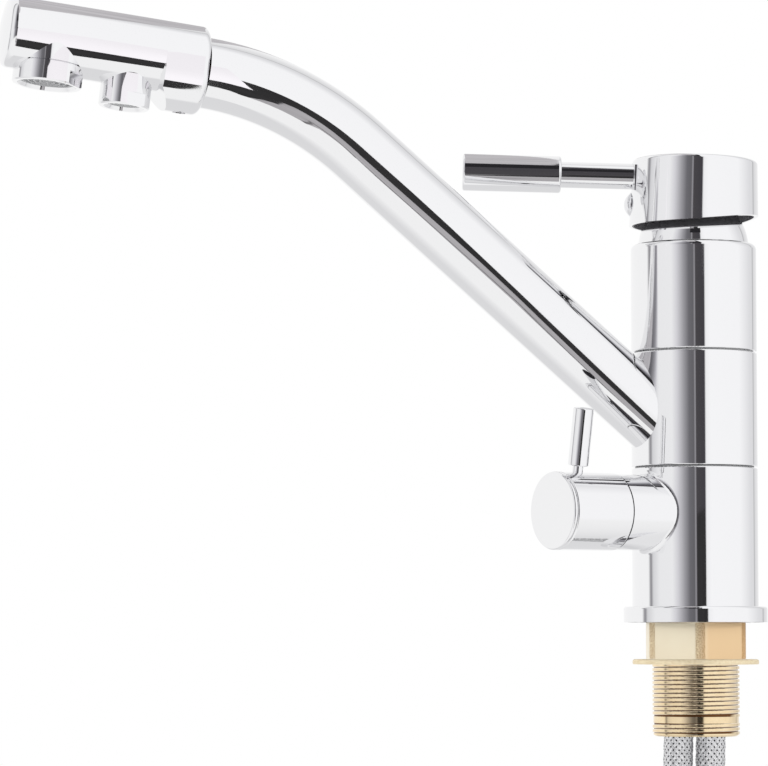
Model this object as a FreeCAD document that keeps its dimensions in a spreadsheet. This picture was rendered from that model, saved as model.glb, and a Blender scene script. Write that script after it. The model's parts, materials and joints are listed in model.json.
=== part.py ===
import FreeCAD, Part
import math
import os

import Sketcher
from FreeCAD import Placement, Rotation, Vector

# Single-lever mixer tap with a swivel spout and a second, filtered-water valve.
# Millimetres, +Z up, origin at the centre of the base flange's underside, front (the valve) along -Y.
# The tap stands in a deck hole; its shank, nut and two braided tails hang below the deck.

# Driving dimensions: name, value
DIMENSIONS = (
    # main column
    ("body_dia", 50.0),
    ("flange_dia", 57.0),
    ("flange_height", 6.2),
    ("lower_top", 61.0),
    ("seam_gap", 0.6),
    ("ring_height", 45.3),
    ("upper_height", 43.0),
    ("shoulder_round", 2.2),
    ("edge_round", 0.5),
    ("ring_wall", 5.0),
    ("neck_step", 1.5),
    ("core_neck_length", 8.5),
    ("foot_inset", 3.0),
    ("running_gap", 0.05),
    ("clear_gap", 0.3),
    # seals and slip rings of the swivel
    ("oring_wire", 2.6),
    ("groove_slack", 0.2),
    ("chamber_depth", 2.5),
    ("slip_ring_inset", 1.4),
    ("slip_ring_thick", 0.5),
    ("low_oring_rise", 6.5),
    ("mid_oring_rise", 31.0),
    ("high_oring_rise", 42.4),
    ("filter_chamber_rise", 12.5),
    ("filter_chamber_height", 15.5),
    ("mixed_chamber_rise", 34.0),
    ("mixed_chamber_height", 5.5),
    # cartridge and its housing
    ("cartridge_inset", 7.6),
    ("cartridge_neck_step", 3.4),
    ("base_thick", 2.5),
    ("fixed_disc_thick", 4.0),
    ("moving_disc_thick", 3.0),
    ("disc_inset", 2.1),
    ("moving_inset", 4.5),
    ("cartridge_port_dia", 7.0),
    ("seal_wire", 1.2),
    ("carrier_height", 4.5),
    ("case_wall", 1.8),
    ("rotor_wall", 3.0),
    ("rotor_flange_step", 2.5),
    ("rotor_slot_wall", 2.5),
    ("rotor_flange_height", 6.4),
    ("rotor_top_rise", 5.5),
    ("nut_recess_wall", 5.0),
    ("nut_under_shoulder", 4.0),
    ("nut_height", 6.5),
    ("neck_over_nut", 1.5),
    ("pivot_over_shoulder", -1.5),
    ("pivot_dia", 5.0),
    ("pivot_length", 19.0),
    ("stem_width", 8.0),
    ("stem_up", 28.5),
    ("stem_lean", 11.0),
    ("ball_drop", 19.5),
    ("ball_dia", 6.0),
    ("stem_tail_dia", 5.2),
    ("socket_floor", 0.6),
    # dome over the cartridge
    ("dome_inset", 3.0),
    ("dome_wall", 1.6),
    ("dome_mouth_step", 5.0),
    # lever
    ("lever_turn", -32.3),
    ("lever_tilt", 1.5),
    ("cap_skirt_flare", 0.9),
    ("cap_rise", 36.0),
    ("cap_crown", 0.8),
    ("cap_edge_round", 1.4),
    ("cap_wall", 1.9),
    ("cap_roof", 4.2),
    ("cap_blank_height", 30.0),
    ("skirt_front_drop", 27.2),
    ("skirt_back_drop", 21.2),
    ("skirt_arc_radius", 216.0),
    ("boss_dia", 15.4),
    ("boss_drop", 24.0),
    ("rod_rise", 28.4),
    ("rod_dia", 10.4),
    ("rod_root_reach", 20.0),
    ("rod_block_reach", 14.0),
    ("rod_block_width", 16.0),
    ("rod_block_under", 1.2),
    ("grip_dia", 14.8),
    ("grip_start_reach", 53.6),
    ("grip_end_reach", 93.1),
    ("grip_socket", 12.0),
    ("plug_rise", 17.0),
    ("plug_dia", 9.7),
    ("plug_dome", 2.6),
    ("plug_depth", 1.5),
    ("lever_screw_dia", 5.0),
    ("lever_screw_length", 7.0),
    ("screw_key_flats", 2.5),
    ("screw_key_depth", 3.0),
    # spout
    ("spout_turn", -15.0),
    ("tube_dia", 27.4),
    ("tube_wall", 1.5),
    ("tube_start_height", 65.95),
    ("tube_slope", 40.0),
    ("head_slope", 6.5),
    ("bend_radius", 118.0),
    ("straight_run", 183.0),
    ("tube_start_run", 12.0),
    ("filter_tube_start_run", 16.0),
    ("filter_tube_dia", 8.0),
    ("filter_tube_wall", 0.8),
    ("mixed_port_dia", 4.8),
    ("mixed_port_offset", 9.4),
    ("mixed_port_inset", 3.4),
    ("spigot_dia", 23.0),
    ("spigot_in_tube", 6.0),
    ("spigot_lead", 0.25),
    ("spigot_in_head", 13.0),
    ("spigot_hole_dia", 4.4),
    ("spigot_hole_ring_dia", 14.6),
    ("spigot_groove_depth", 1.8),
    ("spigot_groove_width", 2.2),
    ("head_dia", 27.6),
    ("head_offset", 3.75),
    ("head_length", 73.6),
    ("socket_depth", 14.5),
    ("bulge_drop", 6.8),
    ("bulge_length", 12.6),
    ("bulge_foot_length", 17.4),
    ("head_rear_round", 2.6),
    ("cap_rim", 1.6),
    ("cap_face_round", 3.0),
    ("head_cap_length", 6.0),
    ("cap_plug_length", 4.0),
    ("head_screw_reach", 7.4),
    ("head_screw_dia", 5.0),
    # outlets under the spout's head
    ("main_reach", 59.6),
    ("main_dia", 26.6),
    ("main_seat_drop", 10.3),
    ("main_drop", 18.3),
    ("main_mouth_dia", 23.2),
    ("main_chamber_length", 26.0),
    ("main_chamber_dia", 18.0),
    ("filter_reach", 29.0),
    ("filter_dia", 19.6),
    ("filter_seat_drop", 9.4),
    ("filter_drop", 22.0),
    ("filter_mouth_dia", 16.2),
    ("outlet_recess", 1.4),
    ("outlet_chamfer", 0.5),
    ("main_flats", 24.6),
    ("main_flat_turn", 139.7),
    ("filter_flats", 17.8),
    ("filter_flat_turn", 104.7),
    ("flat_height", 5.0),
    ("outlet_seal_thick", 1.2),
    # filtered-water valve on the front
    ("valve_height", 43.0),
    ("valve_branch_dia", 29.8),
    ("branch_out", 15.5),
    ("branch_root_round", 2.0),
    ("valve_bore_dia", 21.0),
    ("valve_floor_inset", 6.4),
    ("knob_dia", 30.4),
    ("knob_gap", 0.3),
    ("knob_out", 28.5),
    ("knob_cap_rim", 1.8),
    ("knob_edge_round", 0.7),
    ("knob_wall", 2.4),
    ("stick_turn", 10.0),
    ("stick_from_face", 10.0),
    ("stick_dia", 8.0),
    ("stick_neck_dia", 4.2),
    ("stick_start", 17.9),
    ("stick_end", 40.4),
    ("headwork_head_dia", 17.0),
    ("headwork_out", 7.0),
    ("spindle_dia", 8.0),
    ("spindle_flange_dia", 14.0),
    ("spindle_flange_thick", 3.0),
    ("valve_disc_dia", 16.0),
    ("valve_disc_thick", 3.0),
    ("valve_seal_thick", 2.0),
    # below the deck
    ("shank_dia", 34.5),
    ("shank_bore", 28.6),
    ("shank_top", 10.0),
    ("shank_bottom", 44.9),
    ("shank_groove_low", 40.0),
    ("shank_groove_high", 38.5),
    ("shank_groove_depth", 0.9),
    ("nut_across_flats", 38.0),
    ("lock_nut_height", 14.6),
    ("nut_chamfer", 1.2),
    ("washer_dia", 50.0),
    ("washer_thick", 2.0),
    ("gasket_rim", 1.5),
    ("gasket_width", 3.5),
    ("gasket_thick", 1.6),
    ("inlet_circle_radius", 7.75),
    ("inlet_dia", 10.0),
    ("inlet_depth", 12.0),
    ("channel_dia", 6.0),
    ("riser_dia", 4.0),
    ("riser_x", 3.0),
    ("riser_inset", 6.2),
    # braided tails
    ("tail_dia", 11.4),
    ("ferrule_dia", 12.2),
    ("ferrule_length", 17.0),
    ("stem_collar_height", 5.0),
    ("stem_shoulder", 0.6),
    ("stem_bore", 6.0),
    ("end_nut_flats", 19.0),
    ("end_nut_height", 14.0),
    ("end_nut_thread_dia", 15.0),
    ("end_nut_relief_dia", 16.0),
    ("end_stem_dia", 11.0),
    ("end_flare_dia", 14.6),
    ("end_flare_height", 2.5),
    ("end_seal_thick", 2.0),
    ("end_nut_gap", 2.0),
    ("end_nut_web", 3.0),
)

# Where the three inlets stand on their circle, degrees from +X. The third is the filtered inlet.
HOT_ANGLE = 270.0
COLD_ANGLE = 30.0
FILTER_ANGLE = 150.0

# How far the lock nut's corners are turned from +X, degrees.
LOCK_NUT_TURN = 21.7

# Routes of the two braided tails: sideways spread and height of each point.
# The spread is along SPREAD_ANGLE, away from the other tail.
SPREAD_ANGLE = 57.7
TAIL_ROUTE = (
    (0.0, -12.0), (0.0, -57.0), (1.6, -104.0), (5.2, -157.0), (8.2, -212.0), (9.4, -264.0), (8.6, -309.0))

doc = FreeCAD.newDocument("MixerTap")
sheet = doc.addObject("Spreadsheet::Sheet", "Sizes")
for row, (alias, number) in enumerate(DIMENSIONS, start=1):
    sheet.set("A%d" % row, alias)
    sheet.set("B%d" % row, str(number))
    sheet.setAlias("B%d" % row, alias)
doc.recompute()


class Size:
    """A size that knows its number and the expression that ties it to the sheet."""

    def __init__(self, number, text):
        self.number = float(number)
        self.text = text

    def joined(self, other, sign, number, swapped=False):
        other_text = other.text if isinstance(other, Size) else repr(float(other))
        pair = (other_text, self.text) if swapped else (self.text, other_text)
        return Size(number, "(%s %s %s)" % (pair[0], sign, pair[1]))

    def __add__(self, other):
        return self.joined(other, "+", self.number + plain(other))

    def __radd__(self, other):
        return self.joined(other, "+", plain(other) + self.number, True)

    def __sub__(self, other):
        return self.joined(other, "-", self.number - plain(other))

    def __rsub__(self, other):
        return self.joined(other, "-", plain(other) - self.number, True)

    def __mul__(self, other):
        return self.joined(other, "*", self.number * plain(other))

    def __rmul__(self, other):
        return self.joined(other, "*", plain(other) * self.number, True)

    def __truediv__(self, other):
        return self.joined(other, "/", self.number / plain(other))

    def __neg__(self):
        return Size(-self.number, "(0 - %s)" % self.text)


class Sizes:
    """Every driving dimension as an attribute."""


def plain(value):
    return value.number if isinstance(value, Size) else float(value)


def sine(angle):
    return Size(math.sin(math.radians(angle.number)), "sin(%s)" % angle.text)


def cosine(angle):
    return Size(math.cos(math.radians(angle.number)), "cos(%s)" % angle.text)


def square_root(value):
    return Size(math.sqrt(value.number), "sqrt(%s)" % value.text)


S = Sizes()
for alias, _ in DIMENSIONS:
    setattr(S, alias, Size(sheet.get(alias), "Sizes." + alias))
ZERO = S.body_dia * 0

# Diameters and reaches that follow the column or the flange through a named wall, step or gap.
S.core_dia = S.body_dia - S.ring_wall * 2
S.core_neck_dia = S.core_dia - S.neck_step * 2
S.foot_dia = S.body_dia - S.foot_inset * 2
S.slip_ring_dia = S.body_dia - S.slip_ring_inset * 2
S.riser_y = S.core_dia / 2 - S.riser_inset
S.cartridge_dia = S.body_dia - S.cartridge_inset * 2
S.cartridge_neck_dia = S.cartridge_dia - S.cartridge_neck_step * 2
S.disc_dia = S.cartridge_dia - S.disc_inset * 2
S.moving_dia = S.disc_dia - S.moving_inset * 2
S.rotor_dia = S.cartridge_neck_dia - S.rotor_wall * 2
S.rotor_flange_dia = S.rotor_dia + S.rotor_flange_step * 2
S.nut_recess_dia = S.body_dia - S.nut_recess_wall * 2
S.dome_dia = S.body_dia - S.dome_inset * 2
S.dome_mouth_dia = S.dome_dia - S.dome_mouth_step * 2
S.cap_skirt_dia = S.body_dia + S.cap_skirt_flare * 2
S.gasket_outer_dia = S.flange_dia - S.gasket_rim * 2
S.gasket_inner_dia = S.gasket_outer_dia - S.gasket_width * 2
S.valve_bore_floor = S.core_dia / 2 - S.valve_floor_inset
S.valve_branch_reach = S.body_dia / 2 + S.branch_out
S.knob_face_reach = S.valve_branch_reach + S.knob_out
S.stick_reach = S.knob_face_reach - S.stick_from_face

PARTS = []


def keep(piece, label, placement=None):
    """Gives a finished sub-part its label and its place."""
    piece.Label = label
    if placement is not None:
        piece.Placement = placement
    PARTS.append(piece)
    return piece


def new_body(name):
    return doc.addObject("PartDesign::Body", name)


def origin_plane(body, role):
    return [feature for feature in body.Origin.OriginFeatures if feature.Role == role][0]


def new_sketch(body, name, role, offset=None):
    """A sketch on one of the body's own origin planes, lifted off it by a tied offset."""
    sketch = body.newObject("Sketcher::SketchObject", name)
    sketch.AttachmentSupport = [(origin_plane(body, role), "")]
    sketch.MapMode = "FlatFace"
    if offset is not None:
        sketch.setExpression("AttachmentOffset.Base.z", offset.text)
        sketch.AttachmentOffset = Placement(Vector(0, 0, offset.number), Rotation())
    return sketch


def tie(sketch, kind, geometry, position, value):
    """Fixes one coordinate of a sketch point to a size."""
    index = sketch.addConstraint(Sketcher.Constraint(kind, -1, 1, geometry, position, value.number))
    sketch.setExpression("Constraints[%d]" % index, value.text)


def arc_between(start, end, radius, side):
    """The short arc from start to end, its centre on the left of the way (side 1) or the right (side -1)."""
    chord = end.sub(start)
    half = chord.Length / 2
    rise = math.sqrt(max(radius * radius - half * half, 0.0))
    left = Vector(-chord.y, chord.x, 0).normalize()
    centre = start.add(end).multiply(0.5).add(left.multiply(rise * side))
    first, last = (start, end) if side > 0 else (end, start)
    angle_first = math.atan2(first.y - centre.y, first.x - centre.x)
    angle_last = math.atan2(last.y - centre.y, last.x - centre.x)
    if angle_last < angle_first:
        angle_last += 2 * math.pi
    return Part.ArcOfCircle(Part.Circle(centre, Vector(0, 0, 1), radius), angle_first, angle_last)


def draw_outline(sketch, corners, closed=True):
    """Draws lines and arcs through the corners.

    A corner is (x, y), or (x, y, radius, side) where an arc leads to it.
    """
    points = [Vector(plain(corner[0]), plain(corner[1]), 0) for corner in corners]
    count = len(corners) if closed else len(corners) - 1
    ends = []
    for index in range(count):
        after = (index + 1) % len(corners)
        corner = corners[after]
        if len(corner) == 2:
            geometry = sketch.addGeometry(Part.LineSegment(points[index], points[after]))
            ends.append((geometry, 1, 2))
            continue
        radius, side = corner[2], corner[3]
        geometry = sketch.addGeometry(arc_between(points[index], points[after], plain(radius), side))
        ends.append((geometry, 1, 2) if side > 0 else (geometry, 2, 1))
        rule = sketch.addConstraint(Sketcher.Constraint("Radius", geometry, plain(radius)))
        if isinstance(radius, Size):
            sketch.setExpression("Constraints[%d]" % rule, radius.text)
    for index, (geometry, first, last) in enumerate(ends):
        if closed or index + 1 < len(ends):
            following = ends[(index + 1) % len(ends)]
            sketch.addConstraint(
                Sketcher.Constraint("Coincident", geometry, last, following[0], following[1]))
        tie(sketch, "DistanceX", geometry, first, as_size(corners[index][0]))
        tie(sketch, "DistanceY", geometry, first, as_size(corners[index][1]))
    if not closed:
        geometry, _, last = ends[-1]
        tie(sketch, "DistanceX", geometry, last, as_size(corners[-1][0]))
        tie(sketch, "DistanceY", geometry, last, as_size(corners[-1][1]))


def as_size(value):
    return value if isinstance(value, Size) else ZERO + value


def draw_circles(sketch, circles):
    """Draws circles given as (x, y, diameter)."""
    for x, y, diameter in circles:
        centre = Vector(plain(x), plain(y), 0)
        geometry = sketch.addGeometry(Part.Circle(centre, Vector(0, 0, 1), plain(diameter) / 2))
        tie(sketch, "DistanceX", geometry, 3, as_size(x))
        tie(sketch, "DistanceY", geometry, 3, as_size(y))
        rule = sketch.addConstraint(Sketcher.Constraint("Diameter", geometry, plain(diameter)))
        sketch.setExpression("Constraints[%d]" % rule, as_size(diameter).text)


def revolve(body, name, corners):
    """Turns a closed outline of (radius, height) corners about the body's own Z axis."""
    sketch = new_sketch(body, name + "_outline", "XZ_Plane")
    draw_outline(sketch, corners)
    turned = body.newObject("PartDesign::Revolution", name)
    turned.Profile = sketch
    turned.ReferenceAxis = (sketch, ["V_Axis"])
    turned.Angle = 360
    doc.recompute()
    return turned


def groove(body, name, corners):
    """Turns a closed outline about the body's Z axis and takes it away."""
    before = body.Shape.Volume
    sketch = new_sketch(body, name + "_outline", "XZ_Plane")
    draw_outline(sketch, corners)
    cut = body.newObject("PartDesign::Groove", name)
    cut.Profile = sketch
    cut.ReferenceAxis = (sketch, ["V_Axis"])
    cut.Angle = 360
    doc.recompute()
    require_less(body, before, name)
    return cut


def require_less(body, before, name):
    if body.Shape.Volume >= before:
        raise RuntimeError(name + " takes nothing away")


def turned_part(name, corners):
    body = new_body(name + "_body")
    revolve(body, name + "_turning", corners)
    return body


def ring_corners(inner_dia, outer_dia, low, high):
    """The outline of a plain ring or, with no inner diameter, of a disc."""
    return ((inner_dia / 2, low), (outer_dia / 2, low), (outer_dia / 2, high), (inner_dia / 2, high))


def pad_circles(body, name, role, offset, circles, length, reverse=False):
    sketch = new_sketch(body, name + "_sketch", role, offset)
    draw_circles(sketch, circles)
    pad = body.newObject("PartDesign::Pad", name)
    pad.Profile = sketch
    pad.setExpression("Length", as_size(length).text)
    pad.Reversed = reverse
    doc.recompute()
    return pad


def pocket_circles(body, name, role, offset, circles, length, reverse=False):
    """Drills round holes from a sketch plane. Unreversed, a pocket runs against the plane's normal."""
    before = body.Shape.Volume
    sketch = new_sketch(body, name + "_sketch", role, offset)
    draw_circles(sketch, circles)
    pocket = body.newObject("PartDesign::Pocket", name)
    pocket.Profile = sketch
    pocket.setExpression("Length", as_size(length).text)
    pocket.Reversed = reverse
    doc.recompute()
    require_less(body, before, name)
    return pocket


def edges_where(shape, test):
    return ["Edge%d" % (number + 1) for number, edge in enumerate(shape.Edges) if test(edge)]


def round_edges(body, name, kind, size_property, size, test):
    """Fillets or chamfers the edges of the body's last shape that pass the test."""
    names = edges_where(body.Tip.Shape, test)
    if not names:
        raise RuntimeError(name + " finds no edge")
    feature = body.newObject("PartDesign::" + kind, name)
    feature.Base = (body.Group[-2], names)
    feature.setExpression(size_property, size.text)
    doc.recompute()
    return feature


def primitive(kind, name, placement=None, **sizes):
    """A Part primitive whose sizes are tied to the sheet."""
    solid = doc.addObject("Part::" + kind, name)
    for key, size in sizes.items():
        solid.setExpression(key, as_size(size).text)
    if placement is not None:
        solid.Placement = placement
    return solid


def taken_away(name, base, tools):
    """Base without the tools, which are fused first where there are several."""
    tool = tools[0]
    if len(tools) > 1:
        tool = doc.addObject("Part::MultiFuse", name + "_tools")
        tool.Shapes = tools
    cut = doc.addObject("Part::Cut", name)
    cut.Base = base
    cut.Tool = tool
    doc.recompute()
    if cut.Shape.Volume >= base.Shape.Volume:
        raise RuntimeError(name + " takes nothing away")
    return cut


def joined_up(name, pieces):
    fuse = doc.addObject("Part::MultiFuse", name)
    fuse.Shapes = pieces
    fuse.Refine = True
    doc.recompute()
    return fuse


def gathered(name, pieces):
    """Several separate solids as one sub-part."""
    group = doc.addObject("Part::Compound", name)
    group.Links = pieces
    doc.recompute()
    return group


def along(direction, base=Vector(0, 0, 0)):
    """A placement that turns +Z to a direction and moves the origin to base."""
    return Placement(base, Rotation(Vector(0, 0, 1), direction))


def about_z(angle, base=Vector(0, 0, 0)):
    return Placement(base, Rotation(Vector(0, 0, 1), angle))


def on_circle(radius, angle, height=0.0):
    turn = math.radians(angle)
    return Vector(radius * math.cos(turn), radius * math.sin(turn), height)


def circle_spot(angle):
    """An inlet's place on its circle, as two tied sizes."""
    turn = math.radians(angle)
    return S.inlet_circle_radius * math.cos(turn), S.inlet_circle_radius * math.sin(turn)


# Millimetres between pieces that are pushed together, and between faces that only touch.
SLIP_FIT = 0.02
TOUCH = 0.01

# Heights that several sub-parts share.
RING_BOTTOM = S.lower_top + S.seam_gap
RING_TOP = RING_BOTTOM + S.ring_height
UPPER_BOTTOM = RING_TOP + S.seam_gap
SHOULDER = UPPER_BOTTOM + S.upper_height
PIVOT = SHOULDER + S.pivot_over_shoulder
CORE_TOP = UPPER_BOTTOM + S.core_neck_length
DISC_FLOOR = CORE_TOP + S.base_thick
DISC_TOP = DISC_FLOOR + S.fixed_disc_thick
NUT_TOP = SHOULDER - S.nut_under_shoulder
NUT_BOTTOM = NUT_TOP - S.nut_height
CASE_SHOULDER = NUT_BOTTOM
CASE_TOP = NUT_TOP + S.neck_over_nut

# The lever's parts are drawn with the lever along +X and its pivot at the origin.
LEVER_PLACE = about_z(S.lever_turn.number - 90.0, Vector(0, 0, PIVOT.number)).multiply(
    Placement(Vector(0, 0, 0), Rotation(Vector(0, 1, 0), -S.lever_tilt.number)))
ROTOR_PLACE = about_z(S.lever_turn.number - 90.0)
STEM_PLACE = about_z(S.lever_turn.number - 90.0, Vector(0, 0, PIVOT.number)).multiply(
    Placement(Vector(0, 0, 0), Rotation(Vector(0, 1, 0), S.stem_lean.number)))

# The spout's parts are drawn with the spout along +X.
SPOUT_PLACE = about_z(S.spout_turn.number - 90.0)

# The valve's parts are drawn about +Z, which points forward out of the branch, with +Y up.
VALVE_PLACE = Placement(Vector(0, 0, S.valve_height.number), Rotation(Vector(1, 0, 0), 90.0))
HANDLE_PLACE = VALVE_PLACE.multiply(about_z(-S.stick_turn.number))


def make_base_ring():
    """Flange that stands on the deck, and the gasket in its underside."""
    rounding = S.edge_round * 2
    inner = S.foot_dia / 2 + S.clear_gap / 4
    flange = turned_part("base_flange", (
        (inner, ZERO),
        (S.gasket_inner_dia / 2 - 0.1, ZERO),
        (S.gasket_inner_dia / 2 - 0.1, S.gasket_thick),
        (S.gasket_outer_dia / 2 + 0.1, S.gasket_thick),
        (S.gasket_outer_dia / 2 + 0.1, ZERO),
        (S.flange_dia / 2, ZERO),
        (S.flange_dia / 2, S.flange_height - rounding),
        (S.flange_dia / 2 - rounding, S.flange_height, rounding, 1),
        (inner, S.flange_height)))
    keep(flange, "base_flange")
    gasket = turned_part("base_gasket", ring_corners(
        S.gasket_inner_dia, S.gasket_outer_dia, ZERO, S.gasket_thick))
    keep(gasket, "base_gasket")


def make_lower_body():
    """Brass casting: foot, barrel with the valve branch, and the core that the spout's ring turns on."""
    barrel = S.body_dia / 2
    core = S.core_dia / 2
    neck = S.core_neck_dia / 2
    groove_floor = core - S.oring_wire - S.groove_slack
    half_groove = S.oring_wire / 2 + S.groove_slack
    rounding = S.edge_round
    outline = [
        (ZERO, S.gasket_thick),
        (S.foot_dia / 2, S.gasket_thick),
        (S.foot_dia / 2, S.flange_height),
        (barrel, S.flange_height),
        (barrel, S.lower_top - rounding),
        (barrel - rounding, S.lower_top, rounding, 1),
        (core, S.lower_top)]
    for rise in (S.low_oring_rise, S.mid_oring_rise, S.high_oring_rise):
        height = RING_BOTTOM + rise
        outline += [(core, height - half_groove), (groove_floor, height - half_groove),
                    (groove_floor, height + half_groove), (core, height + half_groove)]
    outline += [(core, UPPER_BOTTOM), (neck, UPPER_BOTTOM), (neck, CORE_TOP), (ZERO, CORE_TOP)]
    body = new_body("lower_body_body")
    revolve(body, "barrel_and_core", outline)
    pad_circles(body, "valve_branch", "XZ_Plane", ZERO, ((ZERO, S.valve_height, S.valve_branch_dia),),
                S.valve_branch_reach)
    branch = S.valve_branch_dia / 2

    def meets_barrel(edge):
        box = edge.BoundBox
        spans = box.ZLength > 1.5 * branch.number and box.YMax < -15.0
        return spans and abs(box.YMax - box.YMin) > 2.0

    round_edges(body, "branch_root", "Fillet", "Radius", S.branch_root_round, meets_barrel)
    pocket_circles(body, "shank_socket", "XY_Plane", ZERO, ((ZERO, ZERO, S.shank_dia),), S.shank_top, True)
    spots = [circle_spot(angle) for angle in (HOT_ANGLE, COLD_ANGLE, FILTER_ANGLE)]
    pocket_circles(body, "inlets", "XY_Plane", S.shank_top,
                   [(x, y, S.inlet_dia) for x, y in spots], S.inlet_depth, True)
    pocket_circles(body, "water_ways", "XY_Plane", S.shank_top,
                   [(x, y, S.channel_dia) for x, y in spots[:2]], CORE_TOP - S.shank_top + 1.0, True)
    pocket_circles(body, "filter_way", "XY_Plane", S.shank_top,
                   [(spots[2][0], spots[2][1], S.channel_dia)], S.valve_height - S.shank_top, True)
    pocket_circles(body, "valve_bore", "XZ_Plane", S.valve_bore_floor,
                   ((ZERO, S.valve_height, S.valve_bore_dia),), S.valve_branch_reach, True)
    pocket_circles(body, "filter_cross_way", "XZ_Plane", -spots[2][1],
                   ((spots[2][0], S.valve_height - 1.0, S.riser_dia),),
                   S.valve_bore_floor + spots[2][1] + 1.0, True)
    port_height = RING_BOTTOM + S.filter_chamber_rise + S.filter_chamber_height / 2
    pocket_circles(body, "filter_riser", "XY_Plane", S.valve_height, ((S.riser_x, -S.riser_y, S.riser_dia),),
                   port_height - S.valve_height + 1.0, True)
    pocket_circles(body, "filter_port", "XZ_Plane", S.riser_y, ((S.riser_x, port_height, S.riser_dia),),
                   S.core_dia / 2, True)
    mixed_height = RING_BOTTOM + S.mixed_chamber_rise + S.mixed_chamber_height / 2
    pocket_circles(body, "mixed_way", "XY_Plane", CORE_TOP, ((spots[2][0], spots[2][1], S.channel_dia),),
                   CORE_TOP - mixed_height + 1.0)
    pocket_circles(body, "mixed_port", "YZ_Plane", spots[2][0], ((spots[2][1], mixed_height, S.riser_dia),),
                   S.core_dia / 2)
    keep(body, "lower_body")


def make_swivel():
    """Slip rings and O-rings between the core and the spout's ring."""
    rings = []
    for name, low in (("low_slip_ring", S.lower_top), ("high_slip_ring", UPPER_BOTTOM - S.slip_ring_thick)):
        rings.append(turned_part(name, ring_corners(
            S.core_dia + S.clear_gap, S.slip_ring_dia, low, low + S.slip_ring_thick)))
    keep(gathered("slip_rings", rings), "slip_rings")
    seals = []
    for name, rise in (("low", S.low_oring_rise), ("mid", S.mid_oring_rise), ("high", S.high_oring_rise)):
        place = Placement(Vector(0, 0, (RING_BOTTOM + rise).number), Rotation())
        wire = S.oring_wire / 2
        seals.append(primitive("Torus", name + "_oring", place,
                               Radius1=S.core_dia / 2 - wire - S.groove_slack, Radius2=wire))
    keep(gathered("swivel_orings", seals), "swivel_orings")


def make_cartridge_housing():
    """Upper barrel: screwed on the core's neck, it holds the cartridge and the dome."""
    barrel = S.body_dia / 2
    rounding = S.edge_round
    body = turned_part("cartridge_housing", (
        (S.core_neck_dia / 2, UPPER_BOTTOM),
        (barrel - rounding, UPPER_BOTTOM),
        (barrel, UPPER_BOTTOM + rounding, rounding, 1),
        (barrel, SHOULDER - S.shoulder_round),
        (barrel - S.shoulder_round, SHOULDER, S.shoulder_round, 1),
        (S.dome_dia / 2 + S.clear_gap / 4, SHOULDER),
        (S.dome_dia / 2 + S.clear_gap / 4, NUT_TOP),
        (S.nut_recess_dia / 2, NUT_TOP),
        (S.nut_recess_dia / 2, NUT_BOTTOM),
        (S.cartridge_dia / 2 + S.clear_gap / 2, NUT_BOTTOM),
        (S.cartridge_dia / 2 + S.clear_gap / 2, CORE_TOP),
        (S.core_neck_dia / 2, CORE_TOP)))
    keep(body, "cartridge_housing")


def make_dome():
    """Dome-shaped collar between the housing's shoulder and the lever's cap."""
    outer = S.dome_dia / 2
    inner = outer - S.dome_wall
    mouth = S.dome_mouth_dia / 2
    top = PIVOT + square_root(outer * outer - mouth * mouth)
    inner_mouth = mouth - S.dome_wall / 2
    inner_top = PIVOT + square_root(inner * inner - inner_mouth * inner_mouth)
    body = turned_part("dome_collar", (
        (inner, NUT_TOP),
        (outer, NUT_TOP),
        (outer, PIVOT),
        (mouth, top, outer, 1),
        (inner_mouth, inner_top),
        (inner, PIVOT, inner, -1)))
    keep(body, "dome_collar")


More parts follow.
